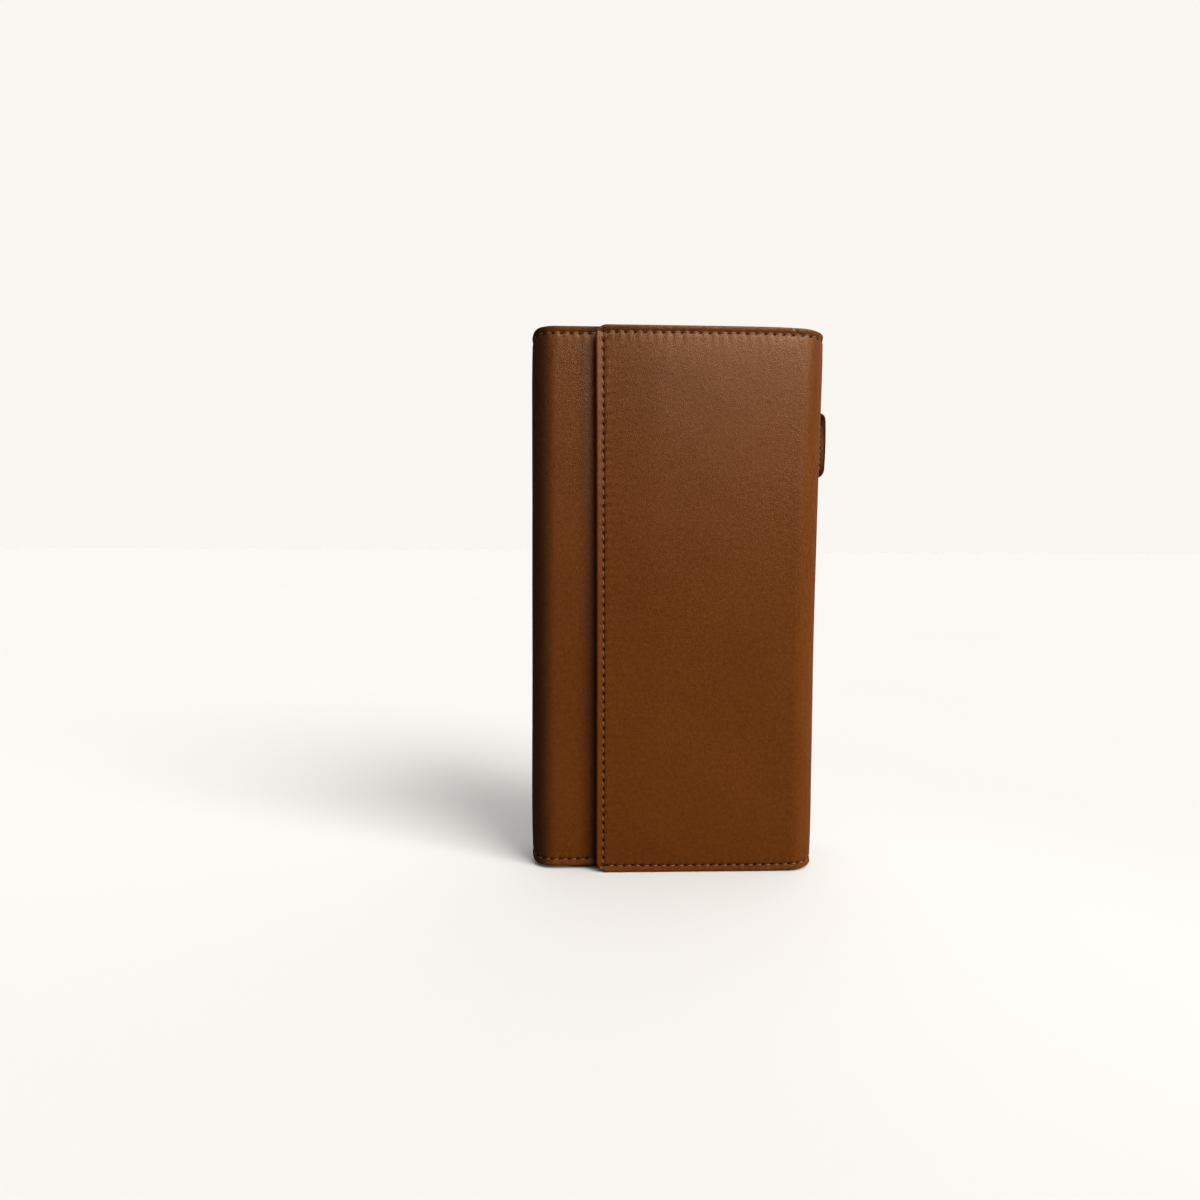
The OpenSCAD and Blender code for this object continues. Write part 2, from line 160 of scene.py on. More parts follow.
@dataclass(frozen=True)
class Profile:
    """A line in the plane across the wallet, made of straight and turning stretches.

    Each stretch is (length, turn in degrees, positive to the left). Outward is to the right of
    the way the line runs, or to the left where flipped is true.
    """

    x: float
    y: float
    heading: float
    stretches: tuple[Pair, ...]
    flipped: bool = False

    @property
    def length(self) -> float:
        """Length of the whole line."""
        return sum(length for length, _ in self.stretches)

    def at(self, run: float) -> tuple[float, float, float]:
        """Finds a place on the line.

        Args:
            run: Distance from the line's start; past either end the line goes on as it was.

        Returns:
            Its x and y and the heading in radians.
        """
        x, y, heading = self.x, self.y, math.radians(self.heading)
        last = len(self.stretches) - 1
        for n, (length, turn) in enumerate(self.stretches):
            step = run if n == last else min(run, length)
            if turn and step > 0:
                radius = length / math.radians(turn)
                angle = step / radius
                x += radius * (math.sin(heading + angle) - math.sin(heading))
                y -= radius * (math.cos(heading + angle) - math.cos(heading))
                heading += angle
            else:
                x += step * math.cos(heading)
                y += step * math.sin(heading)
            run -= length
            if run <= 0:
                break
        return x, y, heading

    def place(self, run: float, z: float, depth: float) -> Vector:
        """Point at a distance along the line, at a height, at a depth under the outer face."""
        x, y, heading = self.at(run)
        inward = depth if self.flipped else -depth
        return Vector((x + inward * math.sin(heading), y - inward * math.cos(heading), z))

    def point(self, run: float) -> Vector:
        """Point on the outer face in metres, given with a piece's bodies as its bend's start or end."""
        return self.place(run, 0.0, 0.0) * MM


def flat_place(x0: float, y: float, towards: int, z0: float = 0.0) -> Place:
    """Surface parallel to the panels: run goes to +X from x0, depth goes towards +Y or -Y."""
    return lambda run, z, depth: Vector((x0 + run, y + towards * depth, z + z0))


@dataclass(frozen=True)
class StitchRow:
    """A straight row of stitches on a sheet, given in the sheet's own run and height."""

    start: Pair
    end: Pair
    inside_left: bool = True
    pitch: float = 3.1

    @cached_property
    def span(self) -> float:
        """Length of the row."""
        return math.dist(self.start, self.end)

    @cached_property
    def count(self) -> int:
        """Number of stitches."""
        return max(1, round(self.span / self.pitch))

    @cached_property
    def way(self) -> Pair:
        """Direction of the row."""
        return (self.end[0] - self.start[0]) / self.span, (self.end[1] - self.start[1]) / self.span

    def local(self, run: float, z: float) -> Pair:
        """Distance along the row and distance from it towards the inside of the sheet."""
        ux, uz = self.way
        dx, dz = run - self.start[0], z - self.start[1]
        across = dz * ux - dx * uz
        return dx * ux + dz * uz, across if self.inside_left else -across


def seam(*corners: Pair) -> tuple[StitchRow, ...]:
    """Rows of stitches from corner to corner, with the inside on their left."""
    return tuple(StitchRow(a, b) for a, b in zip(corners, corners[1:]))


def nothing(run: float) -> float:
    """No rise anywhere along a sheet."""
    return 0.0


@dataclass(frozen=True)
class Relief:
    """Height of a leather face over its plain sheet: stitching, puckers and gentle waves.

    A crown is the soft rise of a padded panel between its stitched edges, which it meets over
    its two ends. A painted shade is how much shade is painted into the leather's colour round the
    bottom fold and beside the flap's free edge. A crease is a run and a reach down from the top.
    """

    rows: tuple[StitchRow, ...] = ()
    wave: float = 0.10
    pucker: float = 0.13
    groove: float = 0.16
    bead: float = 0.20
    crown: Callable[[float], float] = nothing
    burnish: Callable[[float], float] = nothing
    creases: tuple[Pair, ...] = ()
    seed: float = 0.0
    tall: float = 190.0
    crown_ends: Pair = (6.0, 5.0)
    wave_size: Pair = (34.0, 46.0)
    row_reach: tuple[float, float, float] = (2.6, 2.7, 7.5)
    groove_w: float = 0.5
    bead_w: float = 1.3

    def height(self, run: float, z: float) -> Pair:
        """Works out the face's height and how deep in a seam a point lies.

        Args:
            run: Distance along the profile.
            z: Height on the sheet.

        Returns:
            The height in millimetres and a groove share from 0 to 1.
        """
        here = Vector((run / self.wave_size[0], z / self.wave_size[1], self.seed))
        high = self.wave * noise.noise(here) + 0.25 * self.wave * noise.noise(here * 3.4)
        deep = 0.0
        past, outside, inside = self.row_reach
        for row in self.rows:
            along, across = row.local(run, z)
            if not (-past < along < row.span + past and -outside < across < inside):
                continue
            k = along * row.count / row.span
            beat = 0.5 + 0.5 * math.cos(math.tau * k)
            bed = math.exp(-((across / self.groove_w) ** 2))
            high -= bed * self.groove * (0.5 + 0.5 * beat)
            deep = max(deep, bed * (0.2 + 0.8 * beat))
            if across > 0:
                high += self._folds(k, across, row)
            else:
                high += self.bead * (1.0 - math.exp(-((across / self.bead_w) ** 2))) * (1.0 - 0.12 * beat)
        rise = self.crown(run)
        down = max(0.0, self.tall - z)
        if rise:
            low, top = self.crown_ends
            high += rise * ((1.0 - math.exp(-down / top)) * (1.0 - math.exp(-max(0.0, z) / low)))
        for at_run, reach in self.creases:
            gap = (run - at_run - 0.3 * down) / 0.55
            high -= 0.5 * math.exp(-gap * gap) * math.exp(-down / reach)
            high += 0.22 * math.exp(-((gap + 2.0) ** 2)) * math.exp(-down / reach)
        return high, deep

    def _folds(self, k: float, across: float, row: StitchRow) -> float:
        """Puckers on the inner side of a row: sharp at the stitches, soft further in.

        Args:
            k: Number of the stitch, with its share of the way to the next.
            across: Distance from the row.
            row: The row, which gives the puckers their own unevenness.

        Returns:
            The rise of the face.
        """
        uneven = 0.8 + 0.5 * noise.noise(Vector((k * 0.9, row.start[0], row.start[1])))
        wander = 0.25 * noise.noise(Vector((k * 0.37, across * 0.3, row.start[1] + 7.0)))
        beat = math.cos(math.tau * (k + wander * across / 3.0))
        rise = 1.0 - math.exp(-((across / 0.45) ** 2))
        fade = math.exp(-across / 1.3) + 0.22 * math.exp(-across / 3.5)
        return self.pucker * uneven * rise * fade * (0.35 - beat)


@dataclass(frozen=True)
class Lines:
    """Lines of a grid along one way: stops, the step from each to the next, and a scale.

    The lines lie closer together beside a free edge, and the scale is that of their distances
    there.
    """

    stops: tuple[float, ...]
    steps: tuple[float, ...]
    scale: float = 1.0
    edge: tuple[float, ...] = (0.0, 0.06, 0.2, 0.4, 0.65, 0.95, 1.3, 1.7, 2.1, 2.5, 2.9, 3.4, 4.0)

    def spread(self, free_low: bool, free_high: bool) -> list[float]:
        """Places of all lines, by whether the low and the high end are free edges."""
        near = [d * self.scale for d in self.edge]
        made = [self.stops[0]]
        last = len(self.steps) - 1
        for n, step in enumerate(self.steps):
            low, high = self.stops[n], self.stops[n + 1]
            start = [low + d for d in near] if free_low and n == 0 else [low]
            end = [high - d for d in reversed(near)] if free_high and n == last else [high]
            a, b = start[-1], end[0]
            count = max(1, round((b - a) / step))
            made += start[1:] + [a + (b - a) * k / count for k in range(1, count)] + end
        return made


def lines(length: float, step: float, scale: float = 1.0) -> Lines:
    """Lines from 0 to a length with one step."""
    return Lines((0.0, length), (step,), scale)


@dataclass
class Sheet:
    """One piece cut from leather, lining or tape, laid along a surface with rounded edges.

    The surface is called with the run, the height and the depth under the outer face.
    """

    name: str
    surface: Place
    runs: Lines
    heights: Lines
    thickness: float | Callable[[float], float] = 1.0
    free: frozenset[Side] = ALL_SIDES
    corner: float = 0.0
    round_r: float = 0.9
    rim_w: float = 0.9
    relief: Relief = field(default_factory=Relief)
    back_relief: Relief = field(default_factory=Relief)
    flat: bool = False

    def build(self, *finishes: Material) -> Thing:
        """Makes the piece: a grid is laid out, thickened by an extrusion and shaped.

        Args:
            finishes: The face's material and, where it differs, the back's material.

        Returns:
            The finished object.
        """
        runs, heights = self.grid
        columns, rows = len(runs) - 1, len(heights) - 1
        bm = bmesh.new()
        bmesh.ops.create_grid(bm, x_segments=columns, y_segments=rows, size=1.0)
        made = bmesh.ops.extrude_face_region(bm, geom=bm.faces[:])
        backs = {v for v in made["geom"] if isinstance(v, Vert)}
        uv = bm.loops.layers.uv.new("UVMap")
        rim, groove, burnish = (bm.verts.layers.float.new(n) for n in ("rim", "groove", "burnish"))
        flat = {}
        for v in bm.verts:
            run = runs[round((v.co.x + 1) / 2 * columns)]
            z = heights[round((v.co.y + 1) / 2 * rows)]
            edge, run, z = self._to_corner(run, z)
            v.co, v[rim], v[groove] = self._shape(run, z, edge, v in backs)
            # share of shade painted into the colour here
            v[burnish] = self.relief.burnish(run)
            flat[v] = (run * MM, z * MM)
        for face in bm.faces:
            face.smooth = True
            on_back = all(v in backs for v in face.verts)
            face.material_index = 1 if on_back and len(finishes) > 1 else 0
            for loop in face.loops:
                loop[uv].uv = flat[loop.vert]
            is_wall = len({round(flat[v][0], 7) for v in face.verts}) == 1
            if is_wall and not self._is_free(flat[face.verts[0]][0]):
                for e in face.edges:
                    e.smooth = False
        return finished(bm, self.name, *finishes)

    @cached_property
    def grid(self) -> tuple[list[float], list[float]]:
        """Runs and heights of the grid's lines."""
        start, end, low, high = (side in self.free for side in Side)
        return self.runs.spread(start, end), self.heights.spread(low, high)

    @cached_property
    def limits(self) -> tuple[float, ...]:
        """Free sides at the start, end, low and high; a side that runs on is far away."""
        ends = (self.grid[0][0], self.grid[0][-1], self.grid[1][0], self.grid[1][-1])
        far = (-999.0, 999.0, -999.0, 999.0)
        return tuple(end if side in self.free else end + off for side, end, off in zip(Side, ends, far))

    def _is_free(self, run: float) -> bool:
        """Whether an end wall of the sheet is a free edge and not a seam with the next piece."""
        side = Side.START if run / MM < (self.grid[0][0] + self.grid[0][-1]) / 2 else Side.END
        return side in self.free

    def _to_corner(self, run: float, z: float) -> tuple[float, float, float]:
        """Rounds the sheet's free corners.

        Args:
            run: Run on the square grid.
            z: Height on the square grid.

        Returns:
            The distance from the nearest free edge, the run and the height.
        """
        start, end, low, high = self.limits
        across, along = min(run - start, end - run), min(z - low, high - z)
        edge = min(across, along)
        a, b = self.corner - across, self.corner - along
        if a <= 0 or b <= 0:
            return edge, run, z
        shrink = max(a, b) / math.hypot(a, b)
        shift_a, shift_b = a - a * shrink, b - b * shrink
        run += shift_a if run - start < end - run else -shift_a
        z += shift_b if z - low < high - z else -shift_b
        return edge, run, z

    def _shape(self, run: float, z: float, edge: float, back: bool) -> tuple[Vector, float, float]:
        """Shapes one vertex.

        Args:
            run: Its run.
            z: Its height.
            edge: Its distance from the nearest free edge.
            back: Whether it lies on the inner face.

        Returns:
            Its place in metres and its rim and groove shares.
        """
        wall = self.thickness(run) if callable(self.thickness) else self.thickness
        bend = min(0.5 * wall, self.round_r)
        depth = deep = 0.0
        if edge < bend:
            depth = bend * (1.0 - math.sqrt(max(0.0, 1.0 - (1.0 - edge / bend) ** 2))) * 0.96
        if not self.flat:
            relief = self.back_relief if back else self.relief
            high, deep = relief.height(run, z)
            depth -= high * min(1.0, edge / 0.5 + 0.3)
        level = wall - depth if back else depth
        return self.surface(run, z, level) * MM, max(0.0, 1.0 - edge / max(self.rim_w, bend)), deep


# ---------------------------------------------------------------- mesh helpers


def finished(bm: Mesh, name: str, *finishes: Material) -> Thing:
    """Turns a bmesh into an object at the origin, with its faces pointing out."""
    bmesh.ops.recalc_face_normals(bm, faces=bm.faces[:])
    mesh = bpy.data.meshes.new(name)
    bm.to_mesh(mesh)
    bm.free()
    for finish in finishes:
        mesh.materials.append(finish)
    made = bpy.data.objects.new(name, mesh)
    bpy.context.scene.collection.objects.link(made)
    return made


def cast(bm: Mesh, name: str, finish: Material, crisp: float = 180.0) -> Thing:
    """Finishes a metal piece that was made in millimetres.

    Args:
        bm: Its mesh.
        name: Its name.
        finish: Its material.
        crisp: Angle in degrees above which an edge stays sharp.

    Returns:
        The finished object.
    """
    for face in bm.faces:
        face.smooth = True
    bmesh.ops.scale(bm, vec=(MM, MM, MM), verts=bm.verts[:])
    bmesh.ops.recalc_face_normals(bm, faces=bm.faces[:])
    bm.normal_update()
    for e in bm.edges:
        if len(e.link_faces) == 2 and e.calc_face_angle(0.0) > math.radians(crisp):
            e.smooth = False
    return finished(bm, name, finish)


def dress(piece: Thing, slot: str, bodies: str | tuple, *nodes: str) -> None:
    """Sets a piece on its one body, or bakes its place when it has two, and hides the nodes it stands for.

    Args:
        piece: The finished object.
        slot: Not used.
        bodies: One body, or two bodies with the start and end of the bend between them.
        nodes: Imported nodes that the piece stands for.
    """
    if isinstance(bodies, str):
        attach(piece, bodies)
    else:
        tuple(bodies[2])
        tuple(bodies[3])
        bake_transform(piece)
    if nodes:
        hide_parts(*nodes)
    LOG.info("%s: %d faces", piece.name, len(piece.data.polygons))


def joined(parts: list[Thing], name: str) -> Thing:
    """Joins objects that share their materials into one object."""
    bm = bmesh.new()
    finishes = list(parts[0].data.materials)
    for part in parts:
        bm.from_mesh(part.data)
    for part in parts:
        mesh = part.data
        bpy.data.objects.remove(part)
        bpy.data.meshes.remove(mesh)
    return finished(bm, name, *finishes)


def block(bm: Mesh, centre: Colour, size: Colour) -> list[Vert]:
    """Adds a block with its middle and its sizes along the axes."""
    verts = bmesh.ops.create_cube(bm, size=1.0)["verts"]
    bmesh.ops.transform(bm, matrix=Matrix.Translation(centre) @ Matrix.Diagonal((*size, 1.0)), verts=verts)
    return verts


def edges_of(verts: Iterable[Vert]) -> set[Edge]:
    """Every edge that meets some vertices."""
    return {e for v in verts for e in v.link_edges}


def rounded(bm: Mesh, edges: Iterable[Edge], radius: float, segments: int) -> None:
    """Rounds edges off."""
    bmesh.ops.bevel(bm, geom=list(edges), offset=radius, offset_type="OFFSET", affect="EDGES",
                    segments=segments, profile=0.5, material=-1)


def swept(bm: Mesh, places: list[Outline], segments: int, closed: bool) -> None:
    """Sweeps a circle of radius 1 through places, as a tube.

    Args:
        bm: Mesh that it goes into.
        places: Each turns a point of the circle, in the plane of X and Y, into its place.
        segments: Faces round the tube.
        closed: Whether the tube runs back into itself; if not, its ends are capped.
    """
    loops = []
    for place in places:
        made = bmesh.ops.create_circle(bm, segments=segments, radius=1.0, cap_ends=False)
        for v in made["verts"]:
            v.co = place(v.co.copy())
        loops.append(edges_of(made["verts"]))
    for a, b in zip(loops, loops[1:] + loops[:1] if closed else loops[1:]):
        bmesh.ops.bridge_loops(bm, edges=list(a | b))
    if not closed:
        bmesh.ops.holes_fill(bm, edges=list(loops[0] | loops[-1]), sides=0)


# ---------------------------------------------------------------- finishes


@dataclass(frozen=True)
class Net:
    """A node tree, with short ways to add nodes that are wired as they are made."""

    tree: bpy.types.NodeTree

    def feed(self, socket: Socket, value: object) -> None:
        """Links a socket to another one, or sets it to a number, a colour or a vector."""
        if isinstance(value, bpy.types.NodeSocket):
            self.tree.links.new(value, socket)
        else:
            socket.default_value = (*value, 1.0) if socket.type == "RGBA" else value

    def node(self, kind: str, *terms: object, **values: object) -> bpy.types.Node:
        """Adds a node.

        Args:
            kind: Node type, without its first word.
            terms: What its first sockets get.
            values: Properties in lower case, or sockets with spaces written as underscores.

        Returns:
            The new node.
        """
        made = self.tree.nodes.new("ShaderNode" + kind)
        for key, value in values.items():
            if hasattr(made, key):
                setattr(made, key, value)
            else:
                self.feed(made.inputs[key.replace("_", " ")], value)
        for socket, value in zip(made.inputs, terms):
            self.feed(socket, value)
        return made

    def maths(self, how: str, *terms: object) -> Socket:
        """A sum done on sockets and numbers."""
        return self.node("Math", *terms, operation=how).outputs[0]

    def times(self, a: object, b: object) -> Socket:
        """Product of two values."""
        return self.maths("MULTIPLY", a, b)

    def plus(self, a: object, b: object) -> Socket:
        """Sum of two values."""
        return self.maths("ADD", a, b)

    def mixed(self, share: object, first: object, second: object, blend: str = "MIX") -> Socket:
        """Mixes two colours by a share."""
        made = self.node("Mix", share, data_type="RGBA", blend_type=blend, clamp_factor=True)
        self.feed(made.inputs[6], first)
        self.feed(made.inputs[7], second)
        return made.outputs[2]

    def ranged(self, value: Socket, low: float, high: float, to_low: float = 0.0,
               to_high: float = 1.0) -> Socket:
        """Maps a value from one range to another, clamped."""
        return self.node("MapRange", value, low, high, to_low, to_high).outputs["Result"]

    def noise(self, where: Socket, scale: Socket, detail: float, roughness: float) -> dict[str, Socket]:
        """Outputs of a noise node."""
        return self.node("TexNoise", Vector=where, Scale=scale, Detail=detail, Roughness=roughness).outputs

    def bump(self, height: Socket, strength: float, distance: float) -> Socket:
        """Normal that a height makes."""
        return self.node("Bump", Height=height, Strength=strength, Distance=distance).outputs[0]

    def effect(self, group: bpy.types.NodeTree, where: Socket, **values: object) -> dict[str, Socket]:
        """Outputs of an effect that is read at a vector, with this finish's numbers."""
        return self.node("Group", node_tree=group, Vector=where, **values).outputs

    def on_object(self) -> Socket:
        """Object coordinates."""
        return self.node("TexCoord").outputs["Object"]

    def on_sheet(self) -> Socket:
        """Coordinates of the piece's own UV map, in metres."""
        return self.node("UVMap", uv_map="UVMap").outputs[0]

    def attribute(self, name: str) -> Socket:
        """An attribute of the piece's vertices."""
        return self.node("Attribute", attribute_name=name).outputs["Fac"]

    def shown_apart(self, others: bpy.types.Node, camera: bpy.types.Node, output: str) -> None:
        """Shows the camera one shader, and gives every other ray another."""
        seen = self.node("LightPath").outputs["Is Camera Ray"]
        both = self.node("MixShader", seen, others.outputs[0], camera.outputs[0])
        self.feed(self.tree.nodes[output].inputs["Surface"], both.outputs[0])


class Effects:
    """Node groups that several finishes use, built once."""

    def __init__(self) -> None:
        """Builds every group."""
        self.grain = self._grain()
        self.mottle = self._mottle()
        self.wear = self._wear()
        self.weave = self._weave()

    @staticmethod
    def _start(name: str, inputs: dict[str, float], outputs: tuple[str, ...]) -> tuple[Net, dict, dict]:
        """Starts a node group that reads a Vector and named numbers and puts out values.

        Args:
            name: Name of the group.
            inputs: Named numbers with their defaults.
            outputs: Named values.

        Returns:
            The group, what it reads and what it puts out.
        """
        tree = bpy.data.node_groups.new(name, "ShaderNodeTree")
        tree.interface.new_socket("Vector", in_out="INPUT", socket_type="NodeSocketVector")
        for key, value in inputs.items():
            made = tree.interface.new_socket(key, in_out="INPUT", socket_type="NodeSocketFloat")
            made.default_value = value
        for key in outputs:
            tree.interface.new_socket(key, in_out="OUTPUT", socket_type="NodeSocketFloat")
        return Net(tree), tree.nodes.new("NodeGroupInput").outputs, tree.nodes.new("NodeGroupOutput").inputs

    def _grain(self) -> bpy.types.NodeTree:
        """Leather grain: small rounded pebbles parted by fine wrinkles, with pores."""
        numbers = {"Cell": 0.00045, "Wrinkle": 0.35}
        net, start, end = self._start("leather_grain", numbers, ("Height", "Crease"))
        density = net.maths("DIVIDE", 1.0, start["Cell"])
        warp = net.noise(start["Vector"], net.times(density, 0.4), 2.0, 0.5)["Color"]
        push = net.node("VectorMath", warp, operation="SCALE", Scale=net.times(start["Cell"], 1.1)).outputs[0]
        moved = net.node("VectorMath", start["Vector"], push, operation="ADD").outputs[0]
        cells = net.node("TexVoronoi", feature="DISTANCE_TO_EDGE", Vector=moved, Scale=density)
        pebble = net.ranged(cells.outputs["Distance"], 0.0, 0.32)
        long = net.noise(moved, net.times(density, 0.42), 3.0, 0.6)["Fac"]
        net.feed(end["Height"], net.plus(net.times(pebble, 0.5), net.times(long, start["Wrinkle"])))
        net.feed(end["Crease"], net.maths("SUBTRACT", 1.0, pebble))
        return net.tree

    def _mottle(self) -> bpy.types.NodeTree:
        """Uneven dye: broad clouds and small specks, both from 0 to 1."""
        net, start, end = self._start("dye_mottle", {"Cloud": 0.03, "Speck": 0.0012}, ("Clouds", "Specks"))
        for size, name, detail in (("Cloud", "Clouds", 3.0), ("Speck", "Specks", 4.0)):
            part = net.noise(start["Vector"], net.maths("DIVIDE", 1.0, start[size]), detail, 0.55)
            net.feed(end[name], net.ranged(part["Fac"], 0.3, 0.7))
        return net.tree

    def _wear(self) -> bpy.types.NodeTree:
        """Wear that follows a rim: full on the edge, broken up by noise."""
        net, start, end = self._start("rim_wear", {"Rim": 0.0, "Size": 0.004}, ("Wear",))
        part = net.noise(start["Vector"], net.maths("DIVIDE", 1.0, start["Size"]), 4.0, 0.6)
        broken = net.ranged(part["Fac"], 0.25, 0.75, 0.35, 1.0)
        net.feed(end["Wear"], net.times(broken, net.ranged(start["Rim"], 0.15, 0.95)))
        return net.tree

    def _weave(self) -> bpy.types.NodeTree:
        """Twill of a woven tape: crossed ribs with a height and a shade."""
        net, start, end = self._start("tape_weave", {"Thread": 0.0005}, ("Height", "Shade"))
        x, y, _ = net.node("SeparateXYZ", start["Vector"]).outputs
        rate = net.maths("DIVIDE", math.tau, start["Thread"])
        over, under = (net.maths("SINE", net.times(v, rate)) for v in (x, net.plus(x, y)))
        high = net.times(net.plus(over, under), 0.25)
        net.feed(end["Height"], net.plus(high, 0.5))
        net.feed(end["Shade"], net.ranged(high, -0.5, 0.5))
        return net.tree


EFFECTS = Effects()


@dataclass(frozen=True)
class Finish:
    """A finish, which says in look() what the sockets of its shader get."""

    name: str

    def look(self, net: Net) -> dict[str, object]:
        """What the shader's sockets get, by their names."""
        raise NotImplementedError

    def make(self) -> Material:
        """Builds the material."""
        made = bpy.data.materials.new(self.name)
        made.use_nodes = True
        net = Net(made.node_tree)
        for key, value in self.look(net).items():
            net.feed(net.tree.nodes["Principled BSDF"].inputs[key], value)
        return made


@dataclass(frozen=True)
class LeatherFinish(Finish):
    """Smooth aniline leather with a fine grain and either turned or painted edges."""

    dark: Colour = (0.182, 0.0480, 0.0050)
    light: Colour = (0.210, 0.0570, 0.0066)
    rim: Colour = (0.150, 0.0380, 0.0042)
    # painted shade in the stitch grooves, mixed in by the groove share
    seam: Colour = (0.030, 0.007, 0.002)
    # multiplied into the colour to paint shade round the bottom fold and beside the flap's edge
    painted_shade_tint: Colour = (0.12, 0.08, 0.08)
    edge: EdgeFinish = EdgeFinish.TURNED
    cell: float = 0.00062
    wrinkle: float = 0.75
    bump: float = 0.46
    roughness: float = 0.36
    specular: float = 0.34

    def look(self, net: Net) -> dict[str, object]:
        """Leather on the piece's own UV map and its rim, groove and painted shade attributes."""
        where = net.on_sheet()
        rim, deep, burnish = (net.attribute(n) for n in ("rim", "groove", "burnish"))
        dye = net.effect(EFFECTS.mottle, where, Cloud=0.045, Speck=0.0013)
        grain = net.effect(EFFECTS.grain, where, Cell=self.cell, Wrinkle=self.wrinkle)
        wear = net.effect(EFFECTS.wear, where, Size=0.005, Rim=rim)["Wear"]
        speck = net.ranged(dye["Specks"], 0.0, 1.0, 0.85, 1.13)
        crease = net.ranged(grain["Crease"], 0.55, 1.0, 1.0, 0.80)
        colour = net.mixed(dye["Clouds"], self.dark, self.light)
        colour = net.mixed(1.0, colour, net.times(speck, crease), "MULTIPLY")
        # painted shade round the bottom fold and beside the flap's edge; it also raises the roughness below
        colour = net.mixed(burnish, colour, net.mixed(1.0, colour, self.painted_shade_tint, "MULTIPLY"))
        colour = net.mixed(net.times(wear, self.edge.value), colour, self.rim)
        rough = net.plus(net.times(dye["Specks"], 0.10), self.roughness - 0.05)
        # the groove share paints shade into the stitch grooves
        return {"Base Color": net.mixed(net.times(deep, 0.75), colour, self.seam),
                "Roughness": net.plus(rough, net.times(burnish, 0.5)),
                "Normal": net.bump(grain["Height"], self.bump, 0.00016),
                "Specular IOR Level": self.specular,
                "Specular Tint": (1.0, 0.64, 0.42)}


@dataclass(frozen=True)
class MetalFinish(Finish):
    """Polished brass with fine scratches and a little tarnish."""

    bright: Colour = (0.62, 0.43, 0.19)
    dull: Colour = (0.36, 0.22, 0.09)
    roughness: float = 0.28

    def look(self, net: Net) -> dict[str, object]:
        """Metal on Object coordinates."""
        dye = net.effect(EFFECTS.mottle, net.on_object(), Cloud=0.004, Speck=0.0004)
        tarnish = net.ranged(dye["Clouds"], 0.4, 1.0, 0.0, 0.7)
        return {"Base Color": net.mixed(tarnish, self.bright, self.dull),
                "Roughness": net.plus(net.times(dye["Specks"], 0.16), self.roughness - 0.06),
                "Metallic": 1.0,
                "Normal": net.bump(dye["Specks"], 0.12, 0.00004)}


@dataclass(frozen=True)
class PlainFinish(Finish):
    """A speckled finish: waxed thread, the painted shadow of the slit that it goes into, or pressed board."""

    dark: Colour = (0.135, 0.042, 0.010)
    light: Colour = (0.205, 0.068, 0.020)
    roughness: float = 0.5
    uneven: float = 0.1
    specular: float = 0.25
    cloud: float = 0.006
    speck: float = 0.00035

    def look(self, net: Net) -> dict[str, object]:
        """Specks on Object coordinates."""
        dye = net.effect(EFFECTS.mottle, net.on_object(), Cloud=self.cloud, Speck=self.speck)
        return {"Base Color": net.mixed(dye["Specks"], self.dark, self.light),
                "Roughness": net.plus(net.times(dye["Clouds"], self.uneven), self.roughness),
                "Specular IOR Level": self.specular}


@dataclass(frozen=True)
class TapeFinish(Finish):
    """Woven zip tape."""

    dark: Colour = (0.040, 0.016, 0.007)
    light: Colour = (0.095, 0.040, 0.018)

    def look(self, net: Net) -> dict[str, object]:
        """Weave on the tape's own UV map."""
        weave = net.effect(EFFECTS.weave, net.on_sheet(), Thread=0.00055)
        return {"Base Color": net.mixed(weave["Shade"], self.dark, self.light),
                "Roughness": 0.82,
                "Normal": net.bump(weave["Height"], 0.6, 0.0001)}


@dataclass(frozen=True)
class PaperFinish(Finish):
    """Matt paper of the floor, which throws less light up than the camera sees."""

    dark: Colour = (0.577, 0.567, 0.560)
    light: Colour = (0.583, 0.573, 0.566)
    dim: Colour = (0.20, 0.195, 0.19)

    def look(self, net: Net) -> dict[str, object]:
        """Faint clouds on Object coordinates."""
        dye = net.effect(EFFECTS.mottle, net.on_object(), Cloud=0.2, Speck=0.002)
        shader = net.tree.nodes["Principled BSDF"]
        net.shown_apart(net.node("BsdfDiffuse", self.dim), shader, "Material Output")
        return {"Base Color": net.mixed(dye["Clouds"], self.dark, self.light),
                "Roughness": 1.0,
                "Specular IOR Level": 0.0}


